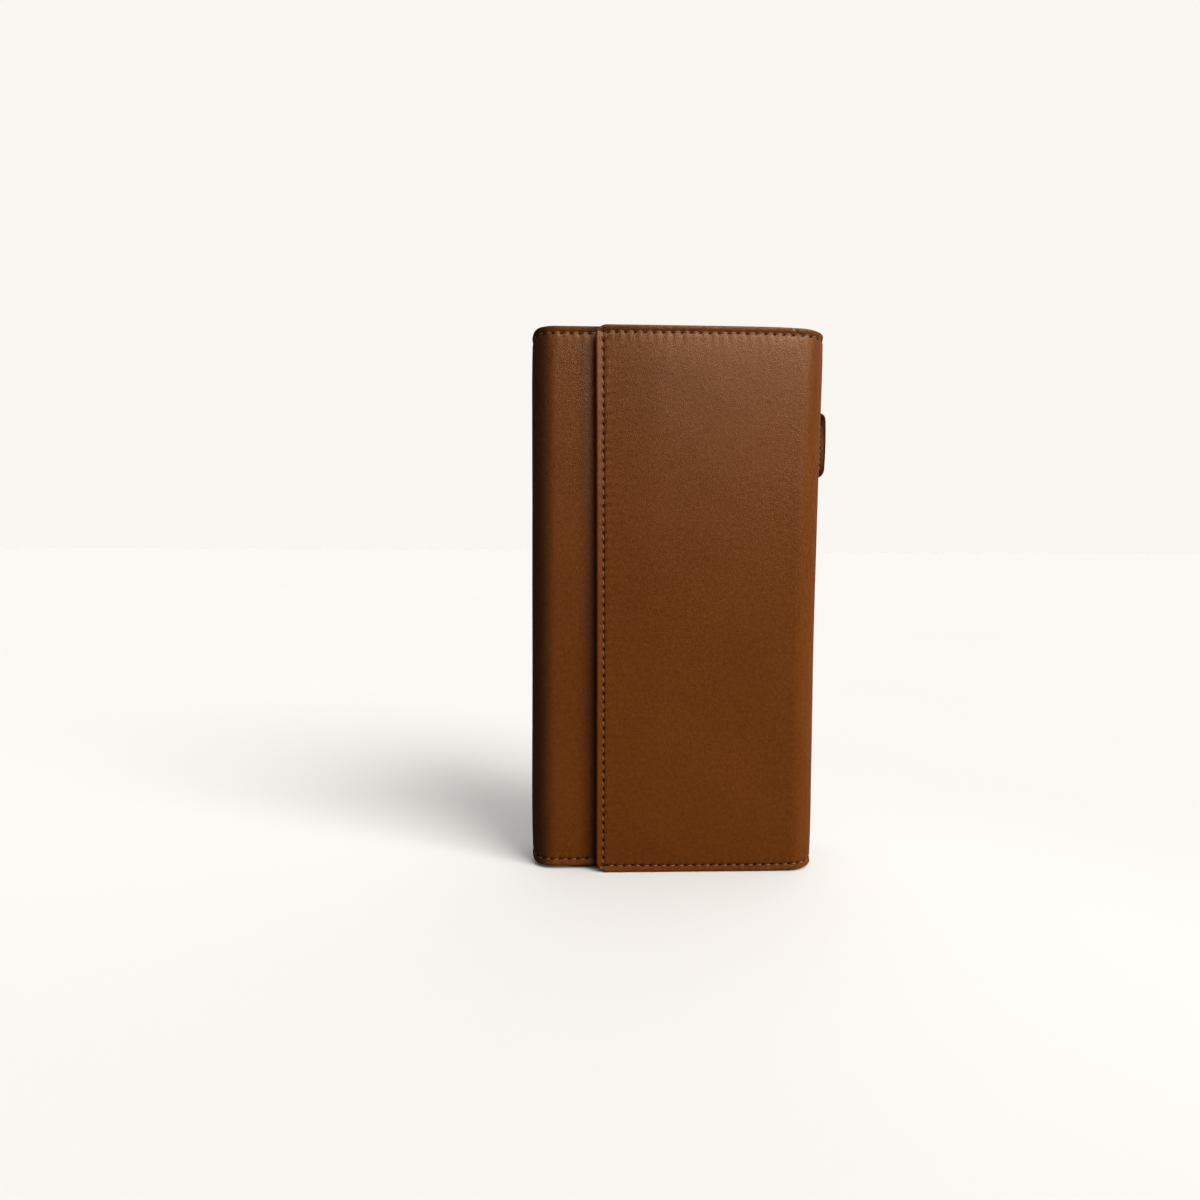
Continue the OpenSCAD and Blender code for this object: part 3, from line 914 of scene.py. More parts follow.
class Finishes:
    """Every finish of the wallet, made once."""

    def __init__(self) -> None:
        """Builds the materials."""
        painted = EdgeFinish.PAINTED
        dark_edge = (0.085, 0.026, 0.009)
        self.hide = LeatherFinish("tan_hide").make()
        self.raw = LeatherFinish("tan_hide_painted_edge", (0.27, 0.090, 0.024), (0.32, 0.115, 0.034),
                                 dark_edge, edge=painted).make()
        # pale flesh side, made paler still to paint in light that the tab's shaded face doesn't get
        self.flesh_with_painted_light = LeatherFinish("tan_flesh_side_painted_light", (0.70, 0.33, 0.155), (0.80, 0.39, 0.190), dark_edge,
                                   edge=painted, bump=0.3, roughness=0.6, specular=0.2).make()
        self.lining = LeatherFinish("lining_leather", (0.185, 0.062, 0.016), (0.225, 0.080, 0.022),
                                    (0.060, 0.018, 0.006), edge=painted, cell=0.0005, wrinkle=0.4, bump=0.30,
                                    roughness=0.58, specular=0.25).make()
        self.thread = PlainFinish("waxed_thread").make()
        # nearly black and without sheen: the painted shadow in each stitch hole
        self.hole_shadow = PlainFinish("stitch_hole_shadow", (0.008, 0.003, 0.001), (0.014, 0.005, 0.002), 0.85,
                                specular=0.0).make()
        self.tape = TapeFinish("zip_tape_twill").make()
        self.brass = MetalFinish("zip_brass").make()
        self.snap = MetalFinish("snap_brass", bright=(0.70, 0.52, 0.26), roughness=0.22).make()
        self.board = PlainFinish("stiffening_board", (0.34, 0.26, 0.18), (0.46, 0.37, 0.27), 0.9, 0.0, 0.5,
                                 0.01, 0.0006).make()
        LOG.info("finishes: 10 materials")


# ---------------------------------------------------------------- stitching and assemblies


@dataclass(frozen=True)
class Stitching:
    """Stitches of a waxed thread that dip into slits on the row's inner side, dark blobs of painted shadow.
    """

    thread_l: float = 2.1
    thread_w: float = 0.5
    thread_h: float = 0.2
    slit_l: float = 1.75
    slit_w: float = 0.72
    slit_h: float = 0.10
    slit_in: float = 0.36
    thread_out: float = 0.12
    slit_slant: float = 20.0
    thread_slant: float = 7.0

    def sew(self, name: str, rows: Iterable[StitchRow], surface: Place, finishes: Finishes,
            window: Pair = (-math.inf, math.inf), depth: float = 0.0, relief: Relief | None = None) -> Thing:
        """Sews rows of stitches on a surface.

        Args:
            name: Name of the piece.
            rows: The rows in the surface's own run and height.
            surface: Turns run, height and depth into a place.
            finishes: The wallet's finishes.
            window: Run between which a stitch has its middle to be sewn here.
            depth: Depth of the face under the surface's zero.
            relief: Relief of the sewn face, which the stitches follow.

        Returns:
            The thread of all stitches with their slits.
        """
        whole = bmesh.new()
        for row in rows:
            bm = bmesh.new()
            step = row.span / row.count
            ux, uz = row.way
            side = 1.0 if row.inside_left else -1.0
            for k in range(2 * row.count + 1):
                is_slit = k % 2 == 0
                into = side * (self.slit_in if is_slit else -self.thread_out)
                run = row.start[0] + 0.5 * k * step * ux - into * uz
                z = row.start[1] + 0.5 * k * step * uz + into * ux
                if window[0] <= run < window[1]:
                    lift = relief.height(run, z)[0] if relief else 0.0
                    slant = self.slit_slant if is_slit else self.thread_slant
                    turn = math.atan2(uz, ux) + math.radians(slant * side)
                    self._blob(bm, Vector((run, z, lift)), turn, is_slit)
            mesh = bpy.data.meshes.new(name)
            bm.to_mesh(mesh)
            bm.free()
            whole.from_mesh(mesh)
            bpy.data.meshes.remove(mesh)
        for v in whole.verts:
            v.co = surface(v.co.x, v.co.y, depth - v.co.z if depth <= 0 else depth + v.co.z) * MM
        return finished(whole, name, finishes.thread, finishes.hole_shadow)

    def _blob(self, bm: Mesh, middle: Vector, turn: float, is_slit: bool) -> None:
        """Adds one stitch, or one slit of painted shadow, as a long flattened ball."""
        hole_shadow, thread = (self.slit_l, self.slit_w, self.slit_h), (self.thread_l, self.thread_w, self.thread_h)
        long, wide, tall = hole_shadow if is_slit else thread
        scale = Matrix.Diagonal((long / 2, wide / 2, tall, 1.0))
        sunk = middle - Vector((0, 0, 0.01 if is_slit else 0.04))
        place = Matrix.Translation(sunk) @ Matrix.Rotation(turn, 4, "Z") @ scale
        made = bmesh.ops.create_uvsphere(bm, u_segments=6, v_segments=4, radius=1.0, matrix=place)
        for face in {f for v in made["verts"] for f in v.link_faces}:
            face.smooth = True
            face.material_index = 1 if is_slit else 0


@dataclass
class Assembly:
    """A part of the wallet that is built by itself."""

    finishes: Finishes

    def sew(self, name: str, rows: Iterable[StitchRow], surface: Place, slot: str, bodies: str | tuple,
            **how: object) -> None:
        """Sews rows and dresses their thread; how is passed on to Stitching.sew."""
        dress(Stitching().sew(name, rows, surface, self.finishes, **how), slot, bodies)

    def line(self, sheet: Sheet, bodies: str | tuple, *nodes: str) -> None:
        """Builds and dresses a sheet of lining leather."""
        dress(sheet.build(self.finishes.lining), "lining_leather", bodies, *nodes)

    @staticmethod
    def refinish(finish: Material, *nodes: str) -> None:
        """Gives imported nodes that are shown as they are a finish."""
        for node in nodes:
            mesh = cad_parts[node].data
            mesh.materials.clear()
            mesh.materials.append(finish)


# ---------------------------------------------------------------- the hide


@dataclass(frozen=True)
class Cut:
    """A piece of the hide: its node, the bend it goes round, its grid and the rows it meets."""

    name: str
    node: str
    bodies: tuple[str, str]
    bend: Pair
    stops: tuple[float, ...]
    steps: tuple[float, ...] = (0.28,)
    tall: float = 1.0
    rows: tuple[int, int] = (1, 3)
    sides: frozenset[Side] = frozenset()


@dataclass
class Hide(Assembly):
    """The one hide that makes the flap, the spine, the back, the bottom fold and the front."""

    flap: Box = field(default_factory=lambda: Box.of("flap_leather"))
    back: Box = field(default_factory=lambda: Box.of("back_leather"))
    front: Box = field(default_factory=lambda: Box.of("front_leather"))
    spine_wall: float = 1.7
    back_wall: float = 1.2
    thinning: float = 0.2
    seam_in: float = 2.45
    corner_gap: float = 1.4
    corner: float = 3.9
    fold_corner: float = 2.4
    proud: float = 0.38
    pinch: float = 1.0
    sag: float = 0.7

    def __post_init__(self) -> None:
        """Lays out the line that the hide follows."""
        self.top = self.flap.z1
        self.spine_x = self.flap.x1 + 0.05
        self.spine_r = (self.back.y1 - self.flap.y0) / 2
        self.fold_r = (self.back.y1 - self.front.y0) / 2
        fold_x = self.back.x0 + self.fold_r
        self.panel = self.spine_x - self.flap.x0
        self.turn = math.pi * self.spine_r
        self.fold = math.pi * self.fold_r
        back_l = self.spine_x - fold_x
        stretches = ((self.panel, 0.0), (self.turn, 180.0), (back_l, 0.0), (self.fold, 180.0),
                     (self.front.x1 - fold_x, 0.0))
        self.profile = Profile(self.flap.x0, self.flap.y0, 0.0, stretches)
        self.spine_run = self.panel + self.turn / 2
        self.back_run = self.panel + self.turn
        self.fold_run = self.back_run + back_l
        self.front_run = self.fold_run + self.fold
        self.crest = self.fold_run + self.fold / 2
        self.end_run = self.profile.length

    def low(self, run: float) -> float:
        """Height of the hide's lower edge."""
        lift = eased((run - self.fold_run) / self.fold)
        return (self.front.z0 + self.proud) * lift + self._dip(run) + 0.7 * self._drawn(run)

    def high(self, run: float) -> float:
        """Height of the hide's upper edge."""
        drop = eased((run - self.panel) / self.turn)
        rise = eased((run - self.fold_run) / self.fold) * self.proud
        return self.top - (self.top - self.back.z1) * drop + rise - self._dip(run) - self._drawn(run)

    def _drawn(self, run: float) -> float:
        """How far the turned ends are drawn in over the bend of the spine."""
        return self.pinch * math.exp(-(((run - self.spine_run) / (0.55 * self.turn)) ** 2))

    def _dip(self, run: float) -> float:
        """How far the rounded corner of the bottom fold takes the edge inwards."""
        away = math.hypot((run - self.crest) / self.fold_r, 0.10)
        into = self.fold_corner - self.fold_r * (1 - math.cos(away))
        if away > 1.5 or into <= 0:
            return 0.0
        return self.fold_corner - math.sqrt(max(0.0, self.fold_corner**2 - into**2))

    def crown(self, run: float) -> float:
        """Rise of the padded panels; the part under the flap stays flat."""
        if run > self.fold_run - 10.0:
            strip = 0.6 * eased((run - self.fold_run + 10.0) / 20.0)
            bare = self.front_run + 15.0
            return strip * (1.0 - eased((run - bare + 6.0) / 8.0))
        flap = 0.85 * eased(run / 26.0 + 0.12) * (1.0 - 0.9 * eased((run - self.panel) / self.turn))
        return flap if run < self.back_run else 0.0

    def burnish(self, run: float) -> float:
        """Shade painted into the hide round the bottom fold and the flap's shadow painted beside its edge."""
        if run <= self.fold_run:
            return 0.0
        before = self.front_run - run
        fold = 0.8 * eased((before + 1.0) / 8.0) * eased((run - self.fold_run) / 6.0)
        beside = self.flap.x0 - (self.back.x0 + self.fold_r - before)
        # the flap's shadow on the front, painted beside its free edge
        return max(fold, 0.8 * math.exp(-beside / 1.7 if beside > 0 else beside / 2.5))

    def lean(self, run: float, z: float) -> float:
        """How far the flap's free edge wanders off its straight line, less and less inwards."""
        up = z / self.top
        return max(0.0, 1.0 - run / self.panel) * (0.3 - 0.4 * up - 0.85 * up * up)

    def surface(self, run: float, z: float, depth: float) -> Vector:
        """Place on the hide; heights run from 0 to the top and follow its edges."""
        low, high = self.low(run), self.high(run)
        place = self.profile.place(run, low + (high - low) * z / self.top, depth)
        if run < self.panel:
            place.x += self.lean(run, z)
        share = 1.0 - eased((abs(run - self.spine_run) - 0.5 * self.turn) / 30.0)
        place.x -= self.sag * share * math.sin(math.pi * min(1.0, max(0.0, z / self.top)))
        return place

    @cached_property
    def rows(self) -> tuple[StitchRow, ...]:
        """Every row of stitches that shows on the hide."""
        a, b, c, g = self.seam_in, self.end_run - self.seam_in, self.top - self.seam_in, self.corner_gap
        return (StitchRow((a, c), (a, a)), StitchRow((a + g, a), (b - g, a)),
                StitchRow((b - g, c), (a + g, c)), StitchRow((b, a), (b, c)))

    def wall(self, run: float) -> float:
        """Thickness of the hide with what is turned in at its edges."""
        if self.panel <= run <= self.back_run:
            return self.spine_wall
        near = min(abs(run - self.panel), abs(run - self.back_run))
        flat = self.flap.deep if run < self.panel else self.back_wall
        if run > self.fold_run:
            flat = self.back_wall - self.thinning * min(1.0, (run - self.fold_run) / self.fold)
        return flat + (self.spine_wall - flat) * max(0.0, 1.0 - near / 3.0)

    def relief(self, first: int, last: int) -> Relief:
        """Relief of a part of the hide that meets only some of the rows."""
        return Relief(self.rows[first:last], groove=0.26, bead=0.42, crown=self.crown, burnish=self.burnish,
                      creases=((self.panel - 2.6, 4.0),))

    def build(self) -> None:
        """Cuts, shapes and sews the pieces of the hide."""
        f = self.finishes
        strip = self.turn / 4
        m = [self.panel + strip * (k + 0.5) for k in range(4)]
        cut, crest = self.fold_run - 4.0, self.crest
        cuts = (
            Cut("flap_hide", "flap_leather", ("flap", "spine_4"), (self.panel, m[0]),
                (0.0, m[0] - 4.0, m[0]), (0.62, 0.3), 0.62, (0, 3), frozenset((Side.START,))),
            Cut("spine_hide_front", "spine_strip_4", ("spine_4", "spine_3"), (m[0], m[1]), (m[0], m[1])),
            Cut("spine_hide_middle", "spine_strip_3", ("spine_3", "spine_2"), (m[1], m[2]), (m[1], m[2])),
            Cut("spine_hide_back", "spine_strip_2", ("spine_2", "spine_1"), (m[2], m[3]), (m[2], m[3])),
            Cut("back_hide", "spine_strip_1", ("spine_1", "back"), (m[3], self.back_run),
                (m[3], m[3] + 4.5, cut), (0.3, 1.0)),
            Cut("fold_hide_back", "back_leather", ("back", "divider"), (self.fold_run, crest),
                (cut, crest), (0.45,)),
            Cut("front_hide", "front_leather", ("divider", "front"), (crest, self.front_run),
                (crest, crest + 13.0, self.end_run), (0.45, 0.62), 0.66, (1, 4), frozenset((Side.END,))),
        )
        for cut_out in cuts:
            sheet = Sheet(cut_out.name, self.surface, Lines(cut_out.stops, cut_out.steps),
                          lines(self.top, cut_out.tall), self.wall, SHORT_ENDS | cut_out.sides,
                          self.corner if cut_out.sides else 0.0, 0.55, relief=self.relief(*cut_out.rows))
            bodies = (*cut_out.bodies, *(self.profile.point(run) for run in cut_out.bend))
            dress(sheet.build(f.hide, f.lining), "outer_leather", bodies, cut_out.node)
            self.sew(cut_out.name.replace("hide", "thread"), self.rows, self.surface, "outer_leather", bodies,
                     window=(cut_out.stops[0], cut_out.stops[-1]), relief=self.relief(0, 4))


# ---------------------------------------------------------------- linings, pockets and divider


@dataclass
class Linings(Assembly):
    """Linings of the flap, the back and the front, which close in the stiffening boards."""

    seam_in: float = 1.8
    flap_corner: float = 3.4
    taper: float = 5.0

    def build(self) -> None:
        """Makes the three linings and gives the boards their finish."""
        flap = Box.of("flap_lining")
        far, near = Box.of("flap_leather").y1, flap.y1
        wall, place = near - far, flat_place(flap.x0, near, -1, flap.z0)

        def thinned(run: float, z: float, depth: float) -> Vector:
            """Place on the flap's lining, which thins out towards the spine."""
            share = max(0.0, 1 - (flap.wide - run) / self.taper) ** 2
            return place(run, z, depth + (wall - 0.05 - depth) * share)

        a, c = self.seam_in, flap.tall - self.seam_in
        rows = seam((flap.wide, c), (a, c), (a, a), (flap.wide, a))
        self._lining("flap", flap, thinned, wall, rows, SHORT_ENDS | {Side.START}, self.flap_corner)
        self.sew("flap_lining_thread", rows, thinned, "lining_leather", "flap")
        back, front = Box.of("back_lining"), Box.of("front_lining")
        for body, box, near, far, towards in (("back", back, back.y0, Box.of("back_board").y1, 1),
                                              ("front", front, front.y1, Box.of("front_board").y0, -1)):
            place = flat_place(box.x0, near, towards, box.z0)
            c = box.tall - self.seam_in
            rows = (StitchRow((box.wide, c), (a, c)), StitchRow((a, a), (box.wide, a)))
            self._lining(body, box, place, abs(far - near), rows, SHORT_ENDS)
        self.refinish(self.finishes.board, "flap_board", "back_board", "front_board")

    def _lining(self, body: str, box: Box, surface: Place, wall: float, rows: tuple[StitchRow, ...],
                free: frozenset[Side], corner: float = 0.0) -> None:
        """Makes one lining.

        Args:
            body: Body that it rides on.
            box: Box of the lining's node.
            surface: Turns run, height and depth into a place.
            wall: Its thickness.
            rows: Its rows of stitches.
            free: Its free sides.
            corner: Radius of its corners.
        """
        sheet = Sheet(f"{body}_lining_leather", surface, lines(box.wide, 1.0), lines(box.tall, 1.0), wall,
                      free, corner, relief=Relief(rows, wave=0.06, pucker=0.05))
        self.line(sheet, body, f"{body}_lining")


@dataclass
class CardPockets(Assembly):
    """Nested card pockets on the back and on the front, each with a creased, painted lip."""

    number: int = 4
    crease_in: float = 1.8
    seam_in: float = 2.0
    step: float = 1.8

    def build(self) -> None:
        """Makes the pockets of both panels."""
        for body, inward in (("back", 1), ("front", -1)):
            for n in range(1, self.number + 1):
                node = f"{body}_card_pocket_{n}"
                box = Box.of(node)
                place = flat_place(box.x0, box.y0 if inward > 0 else box.y1, inward, box.z0)
                lip, end, s = box.wide - self.crease_in, box.wide - self.seam_in, self.seam_in
                crease = StitchRow((lip, 1.0), (lip, box.tall - 1.0), pitch=999.0)
                high = box.tall - s
                rows = (crease, StitchRow((1.0, s), (end, s)), StitchRow((end, high), (1.0, high)))
                sheet = Sheet(f"{body}_pocket_leather_{n}", place, lines(box.wide, self.step, 0.7),
                              lines(box.tall, self.step, 0.7), box.deep, THREE_SIDES, 1.2,
                              relief=Relief(rows, wave=0.05, pucker=0.03, groove=0.08, seed=n * 3.1))
                self.line(sheet, body, node)


@dataclass
class Divider(Assembly):
    """Divider of two plies between the banknote compartments, and the pleated gussets."""

    seam_in: float = 2.0
    valley_r: float = 0.5
    pleat: float = 15.0
    pleat_wall: float = 0.5

    def build(self) -> None:
        """Makes both plies and both pairs of gussets."""
        back_ply, front_ply = Box.of("divider_back_ply"), Box.of("divider_front_ply")
        for side, box, near, towards in (("back", back_ply, back_ply.y1, -1),
                                         ("front", front_ply, front_ply.y0, 1)):
            place = flat_place(box.x0, near, towards, box.z0)
            s, end, top = self.seam_in, box.wide - self.seam_in, box.tall - self.seam_in
            rows = seam((1.0, s), (end, s), (end, top), (1.0, top))
            relief = Relief(rows, wave=0.06, pucker=0.05, groove=0.12)
            sheet = Sheet(f"divider_{side}_leather", place, lines(box.wide, 1.2), lines(box.tall, 1.2),
                          box.deep, THREE_SIDES, 2.0, relief=relief)
            self.line(sheet, "divider", f"divider_{side}_ply")
            self.sew(f"divider_{side}_thread", rows, place, "lining_leather", "divider")
        back, front = Box.of("back_gusset_leaves"), Box.of("front_gusset_leaves")
        self._gusset("back_gusset", back, back.y1, back_ply.y1, ("back", "divider"), "back_gusset_leaves")
        self._gusset("front_gusset", front, front_ply.y0, front.y0, ("divider", "front"),
                     "front_gusset_leaves", "divider_gusset_leaves")

    def _gusset(self, name: str, box: Box, y_from: float, y_to: float, bodies: tuple[str, str],
                *nodes: str) -> None:
        """Makes the pleats of one compartment at both short ends.

        Args:
            name: Name of the piece.
            box: Box of the leaves on the outer body.
            y_from: Level at which the pleat starts.
            y_to: Level of the other body; the pleat leans away from it and doesn't reach it.
            bodies: The two bodies that it lies between.
            nodes: Nodes that it stands for.
        """
        gap = abs(y_from - y_to)
        arm = min(self.pleat, box.tall / 2) - gap / 2
        lean = math.degrees(math.atan2((gap - 2 * self.valley_r) / 2 - self.pleat_wall / 2, arm))
        valley = (self.valley_r * math.radians(180 + 2 * lean), -180.0 - 2 * lean)
        profile = Profile(0.0, 0.0, 90.0 + lean, ((arm, 0.0), valley, (arm, 0.0)))
        parts = []
        for edge, sign in ((box.z0, 1), (box.z1, -1)):
            def pleat(run: float, along: float, depth: float, edge: float = edge, sign: int = sign) -> Vector:
                """Place on the pleat; the profile lies in the plane of thickness and height."""
                p = profile.place(run, 0.0, depth)
                return Vector((box.x0 + along, y_from - p.x, edge + sign * p.y))

            sheet = Sheet(name, pleat, lines(profile.length, 0.8, 0.5), lines(box.wide, 2.4, 0.7),
                          self.pleat_wall, relief=Relief(wave=0.05))
            parts.append(sheet.build(self.finishes.lining))
        bend = (Vector((0.0, y, 0.0)) * MM for y in (y_from, y_to))
        dress(joined(parts, name), "lining_leather", (*bodies, *bend), *nodes)


# ---------------------------------------------------------------- coin pocket


@dataclass
class CoinPocket(Assembly):
    """Zipped coin pocket behind the back: rear leather, lip and end walls."""

    turn_r: float = 5.0
    seam_in: float = 2.3
    corner_gap: float = 1.4
    cross_in: float = 3.4
    wall: float = 1.2
    lip_wall: float = 0.6
    lip_seam: float = 6.0
    end_wall: float = 0.8
    end_bow: float = 1.1

    def build(self) -> None:
        """Makes the pocket's pieces."""
        f = self.finishes
        rear, lip, ends = (Box.of(f"coin_pocket_{n}") for n in ("leather", "lip", "ends"))
        across = rear.wide - self.turn_r
        stretches = ((across, 0.0), (math.pi / 2 * self.turn_r, 90.0), (rear.deep - self.turn_r, 0.0))
        profile = Profile(rear.x1, rear.y1, 180.0, stretches)
        a, c = self.seam_in, rear.z1 - self.seam_in
        g, b = a + self.corner_gap, across - 2.0
        cross = across - self.cross_in
        rows = (StitchRow((a, a), (a, c), False), StitchRow((g, a), (b, a)), StitchRow((b, c), (g, c)),
                StitchRow((cross, a), (cross, c)))
        sheet = Sheet("coin_pocket_hide", profile.place, Lines((0.0, across, profile.length), (1.0, 0.5)),
                      lines(rear.z1, 1.0), self.wall, SHORT_ENDS | {Side.START}, 1.6,
                      relief=Relief(rows, wave=0.12, seed=4.0))
        dress(sheet.build(f.hide, f.lining), "outer_leather", "back", "coin_pocket_leather")
        self.sew("coin_pocket_thread", rows, profile.place, "outer_leather", "back")
        self._lip(lip, rear)
        self._ends(ends, rear, lip)

    def _lip(self, lip: Box, rear: Box) -> None:
        """Lip beside the spine, with its seam on the back."""
        outer = lip.y1 - self.lip_wall
        row = StitchRow((lip.wide - 2.0, 2.0), (lip.wide - 2.0, rear.z1 - 2.0))
        heights = lines(rear.z1, 1.2, 0.8)
        hide = Sheet("coin_pocket_lip_hide", flat_place(lip.x0, outer, 1), lines(lip.wide, 1.0, 0.8), heights,
                     self.lip_wall, THREE_SIDES, 1.0, relief=Relief((row,), wave=0.04))
        dress(hide.build(self.finishes.raw), "outer_leather", "back", "coin_pocket_lip")
        spacer = Sheet("coin_pocket_lip_seam", flat_place(lip.x0, lip.y0, 1), lines(self.lip_seam, 0.8, 0.3),
                       heights, outer - lip.y0, relief=Relief(wave=0.03))
        dress(spacer.build(self.finishes.raw), "outer_leather", "back")

    def _ends(self, ends: Box, rear: Box, lip: Box) -> None:
        """End walls that bow in a little between the back and the rear leather."""
        parts = []
        name = "coin_pocket_end_leather"
        deep = rear.y1 - self.wall - rear.y0
        for edge, sign in ((ends.z0, 1), (ends.z1, -1)):
            def wall(run: float, v: float, depth: float, edge: float = edge, sign: int = sign) -> Vector:
                """Place on an end wall: run along +X and v towards the rear."""
                bow = self.end_bow * math.sin(math.pi * min(1.0, max(0.0, v / deep)))
                start = max(0.0, run - (lip.x0 - ends.x0)) / 2.0
                y = rear.y0 + max(v, min(lip.y1 - rear.y0, start))
                return Vector((ends.x0 + run, y, edge + sign * (depth + bow)))

            sheet = Sheet(name, wall, lines(ends.wide, 1.6, 0.4), lines(deep, 0.5), self.end_wall,
                          frozenset((Side.START, Side.END)), relief=Relief(wave=0.06))
            parts.append(sheet.build(self.finishes.lining))
        dress(joined(parts, name), "lining_leather", "back", "coin_pocket_ends")


# ---------------------------------------------------------------- zip


@dataclass
class Zip(Assembly):
    """Zip of the coin pocket: two woven tapes, two rows of teeth, stops, slider and ring."""

    pitch: float = 2.0
    tooth: float = 0.82
    tape: float = 0.5
    tape_turn: float = 0.7
    core_r: float = 0.38
    plate: float = 0.9
    flange: float = 0.8
    clear: float = 0.2
    bridge_in: float = 2.9
    bridge_half: Pair = (0.8, 0.4)
    wire: float = 0.45
    ring_corner: float = 1.1
    outline: tuple[Pair, ...] = (
        (-0.44, 0.0), (0.44, 0.0), (0.46, 0.12), (0.44, 0.3), (0.5, 0.52), (0.5, 0.8), (0.42, 0.94),
        (0.24, 1.0), (-0.24, 1.0), (-0.42, 0.94), (-0.5, 0.8), (-0.5, 0.52), (-0.44, 0.3), (-0.46, 0.12))

    def build(self) -> None:
        """Makes the tapes, the chain, the slider and the ring."""
        for side, name in ((1, "front"), (-1, "back")):
            self._tape(side, f"zip_tape_{name}")
        for side, name in ((1, "back"), (-1, "front")):
            self._teeth(side, f"zip_teeth_{name}")
        self.refinish(self.finishes.brass, "zip_top_stops", "zip_bottom_stop")
        self._slider()
        self._ring()

    def _tape(self, side: int, node: str) -> None:
        """Tape that is sewn under the leather and turns into the mouth."""
        box = Box.of(node)
        r = self.tape_turn
        stretches = ((box.wide - r, 0.0), (math.pi / 2 * r, 90.0 * side), (box.deep - r, 0.0))
        profile = Profile(box.x0, box.y0 if side > 0 else box.y1, 0.0, stretches, side < 0)
        sheet = Sheet(f"{node}_twill", lambda run, z, depth: profile.place(run, z + box.z0, depth),
                      lines(profile.length, 0.35), lines(box.tall, 1.5, 0.3), self.tape, SHORT_ENDS,
                      relief=Relief(wave=0.02))
        dress(sheet.build(self.finishes.tape), "zip_tape", "back", node)

    def _teeth(self, side: int, node: str) -> None:
        """Row of meshing teeth along the core of their tape."""
        box = Box.of(node)
        tip, root = (box.y0, box.y1) if side > 0 else (box.y1, box.y0)
        bm = bmesh.new()
        offset = 0.5 * self.pitch if side > 0 else 0.0
        for k in range(int((box.tall - offset) // self.pitch)):
            self._tooth(bm, box, root, tip, box.z0 + offset + k * self.pitch + self.tooth / 2)
        middle = (box.x0 + 0.34, root - side * 0.42, (box.z0 + box.z1) / 2)
        core = bmesh.ops.create_cone(bm, cap_ends=True, segments=10, radius1=self.core_r, radius2=self.core_r,
                                     depth=box.tall, matrix=Matrix.Translation(middle))
        for v in core["verts"]:
            for face in v.link_faces:
                face.material_index = 1
                face.smooth = len(face.verts) == 4
        bmesh.ops.scale(bm, vec=(MM, MM, MM), verts=bm.verts[:])
        piece = finished(bm, f"{node}_brass", self.finishes.brass, self.finishes.tape)
        dress(piece, "zip_metal", "back", node)

    def _tooth(self, bm: Mesh, box: Box, root: float, tip: float, z: float) -> None:
        """Adds one tooth from its foot at the root to its wider, lower head at the tip."""
        mid_x = box.x0 + box.wide / 2
        verts = block(bm, (mid_x, (root + tip) / 2, z), (box.wide, abs(root - tip), self.tooth))
        for v in verts:
            if abs(v.co.y - tip) < 1e-4:
                v.co.x += -0.22 if v.co.x > mid_x else 0.12
                v.co.z += 0.10 * (1 if v.co.z < z else -1)
        rounded(bm, edges_of(verts), 0.16, 1)

    def _slider(self) -> None:
        """Slider with a waisted plate, side flanges and an arched bridge."""
        box, teeth = Box.of("zip_slider"), Box.of("zip_teeth_back")
        mid_y = (box.y0 + box.y1) / 2
        plate_x = teeth.x1 + self.clear
        bm = bmesh.new()
        verts = [bm.verts.new((plate_x, mid_y + y * box.deep, box.z0 + z * box.tall))
                 for y, z in self.outline]
        grown = bmesh.ops.extrude_face_region(bm, geom=[bm.faces.new(verts)])
        top = [v for v in grown["geom"] if isinstance(v, Vert)]
        bmesh.ops.translate(bm, vec=(self.plate, 0, 0), verts=top)
        rounded(bm, [e for e in bm.edges if all(v.co.x > plate_x + 0.5 for v in e.verts)], 0.32, 3)
        low, high = teeth.x0 + self.clear, plate_x + 0.2
        for side in (-1, 1):
            centre = ((low + high) / 2, mid_y + side * (box.deep / 2 - self.flange), box.z0 + box.tall * 0.43)
            rounded(bm, edges_of(block(bm, centre, (high - low, self.flange, box.tall * 0.8))), 0.2, 2)
        self._bridge(bm, box, mid_y, plate_x + 0.7)
        dress(cast(bm, "zip_slider_brass", self.finishes.brass, 40.0), "zip_metal", "slider", "zip_slider")

    def _bridge(self, bm: Mesh, box: Box, mid_y: float, foot_x: float) -> None:
        """Adds the arched bridge as a flat bar swept over the plate."""
        low, high = box.z0 + self.bridge_in, box.z1 - self.bridge_in
        rise = box.x1 - self.bridge_half[1] - foot_x
        steps = 14

        def along(k: int) -> Outline:
            """Gives the place of the bar's outline at one step."""
            t = k / steps
            away = abs(2 * t - 1)
            x, z = foot_x + rise * (1 - away**3.2) ** 0.5, low + (high - low) * t
            tilt = math.pi / 2 * (-1 if t < 0.5 else 1) * away**2.2
            wide, thick = self.bridge_half
            return lambda p: Vector((x + p.y * thick * math.cos(tilt), mid_y + p.x * wide,
                                     z + p.y * thick * math.sin(tilt)))

        swept(bm, [along(k) for k in range(steps + 1)], 8, False)

    def _ring(self) -> None:
        """Wire ring of the puller: a rounded rectangle swept by a round wire."""
        box = Box.of("puller_ring")
        x, r, inset = (box.x0 + box.x1) / 2, self.ring_corner, self.wire + self.ring_corner
        y0, y1, z0, z1 = box.y0 + inset, box.y1 - inset, box.z0 + inset, box.z1 - inset

        def along(y: float, z: float, degrees: float) -> Outline:
            """Gives the place of the wire's outline at an angle round a corner."""
            out = Vector((0.0, math.cos(math.radians(degrees)), math.sin(math.radians(degrees))))
            centre = Vector((x, y, z)) + out * r
            return lambda p: centre + out * (p.x * self.wire) + Vector((p.y * self.wire, 0, 0))

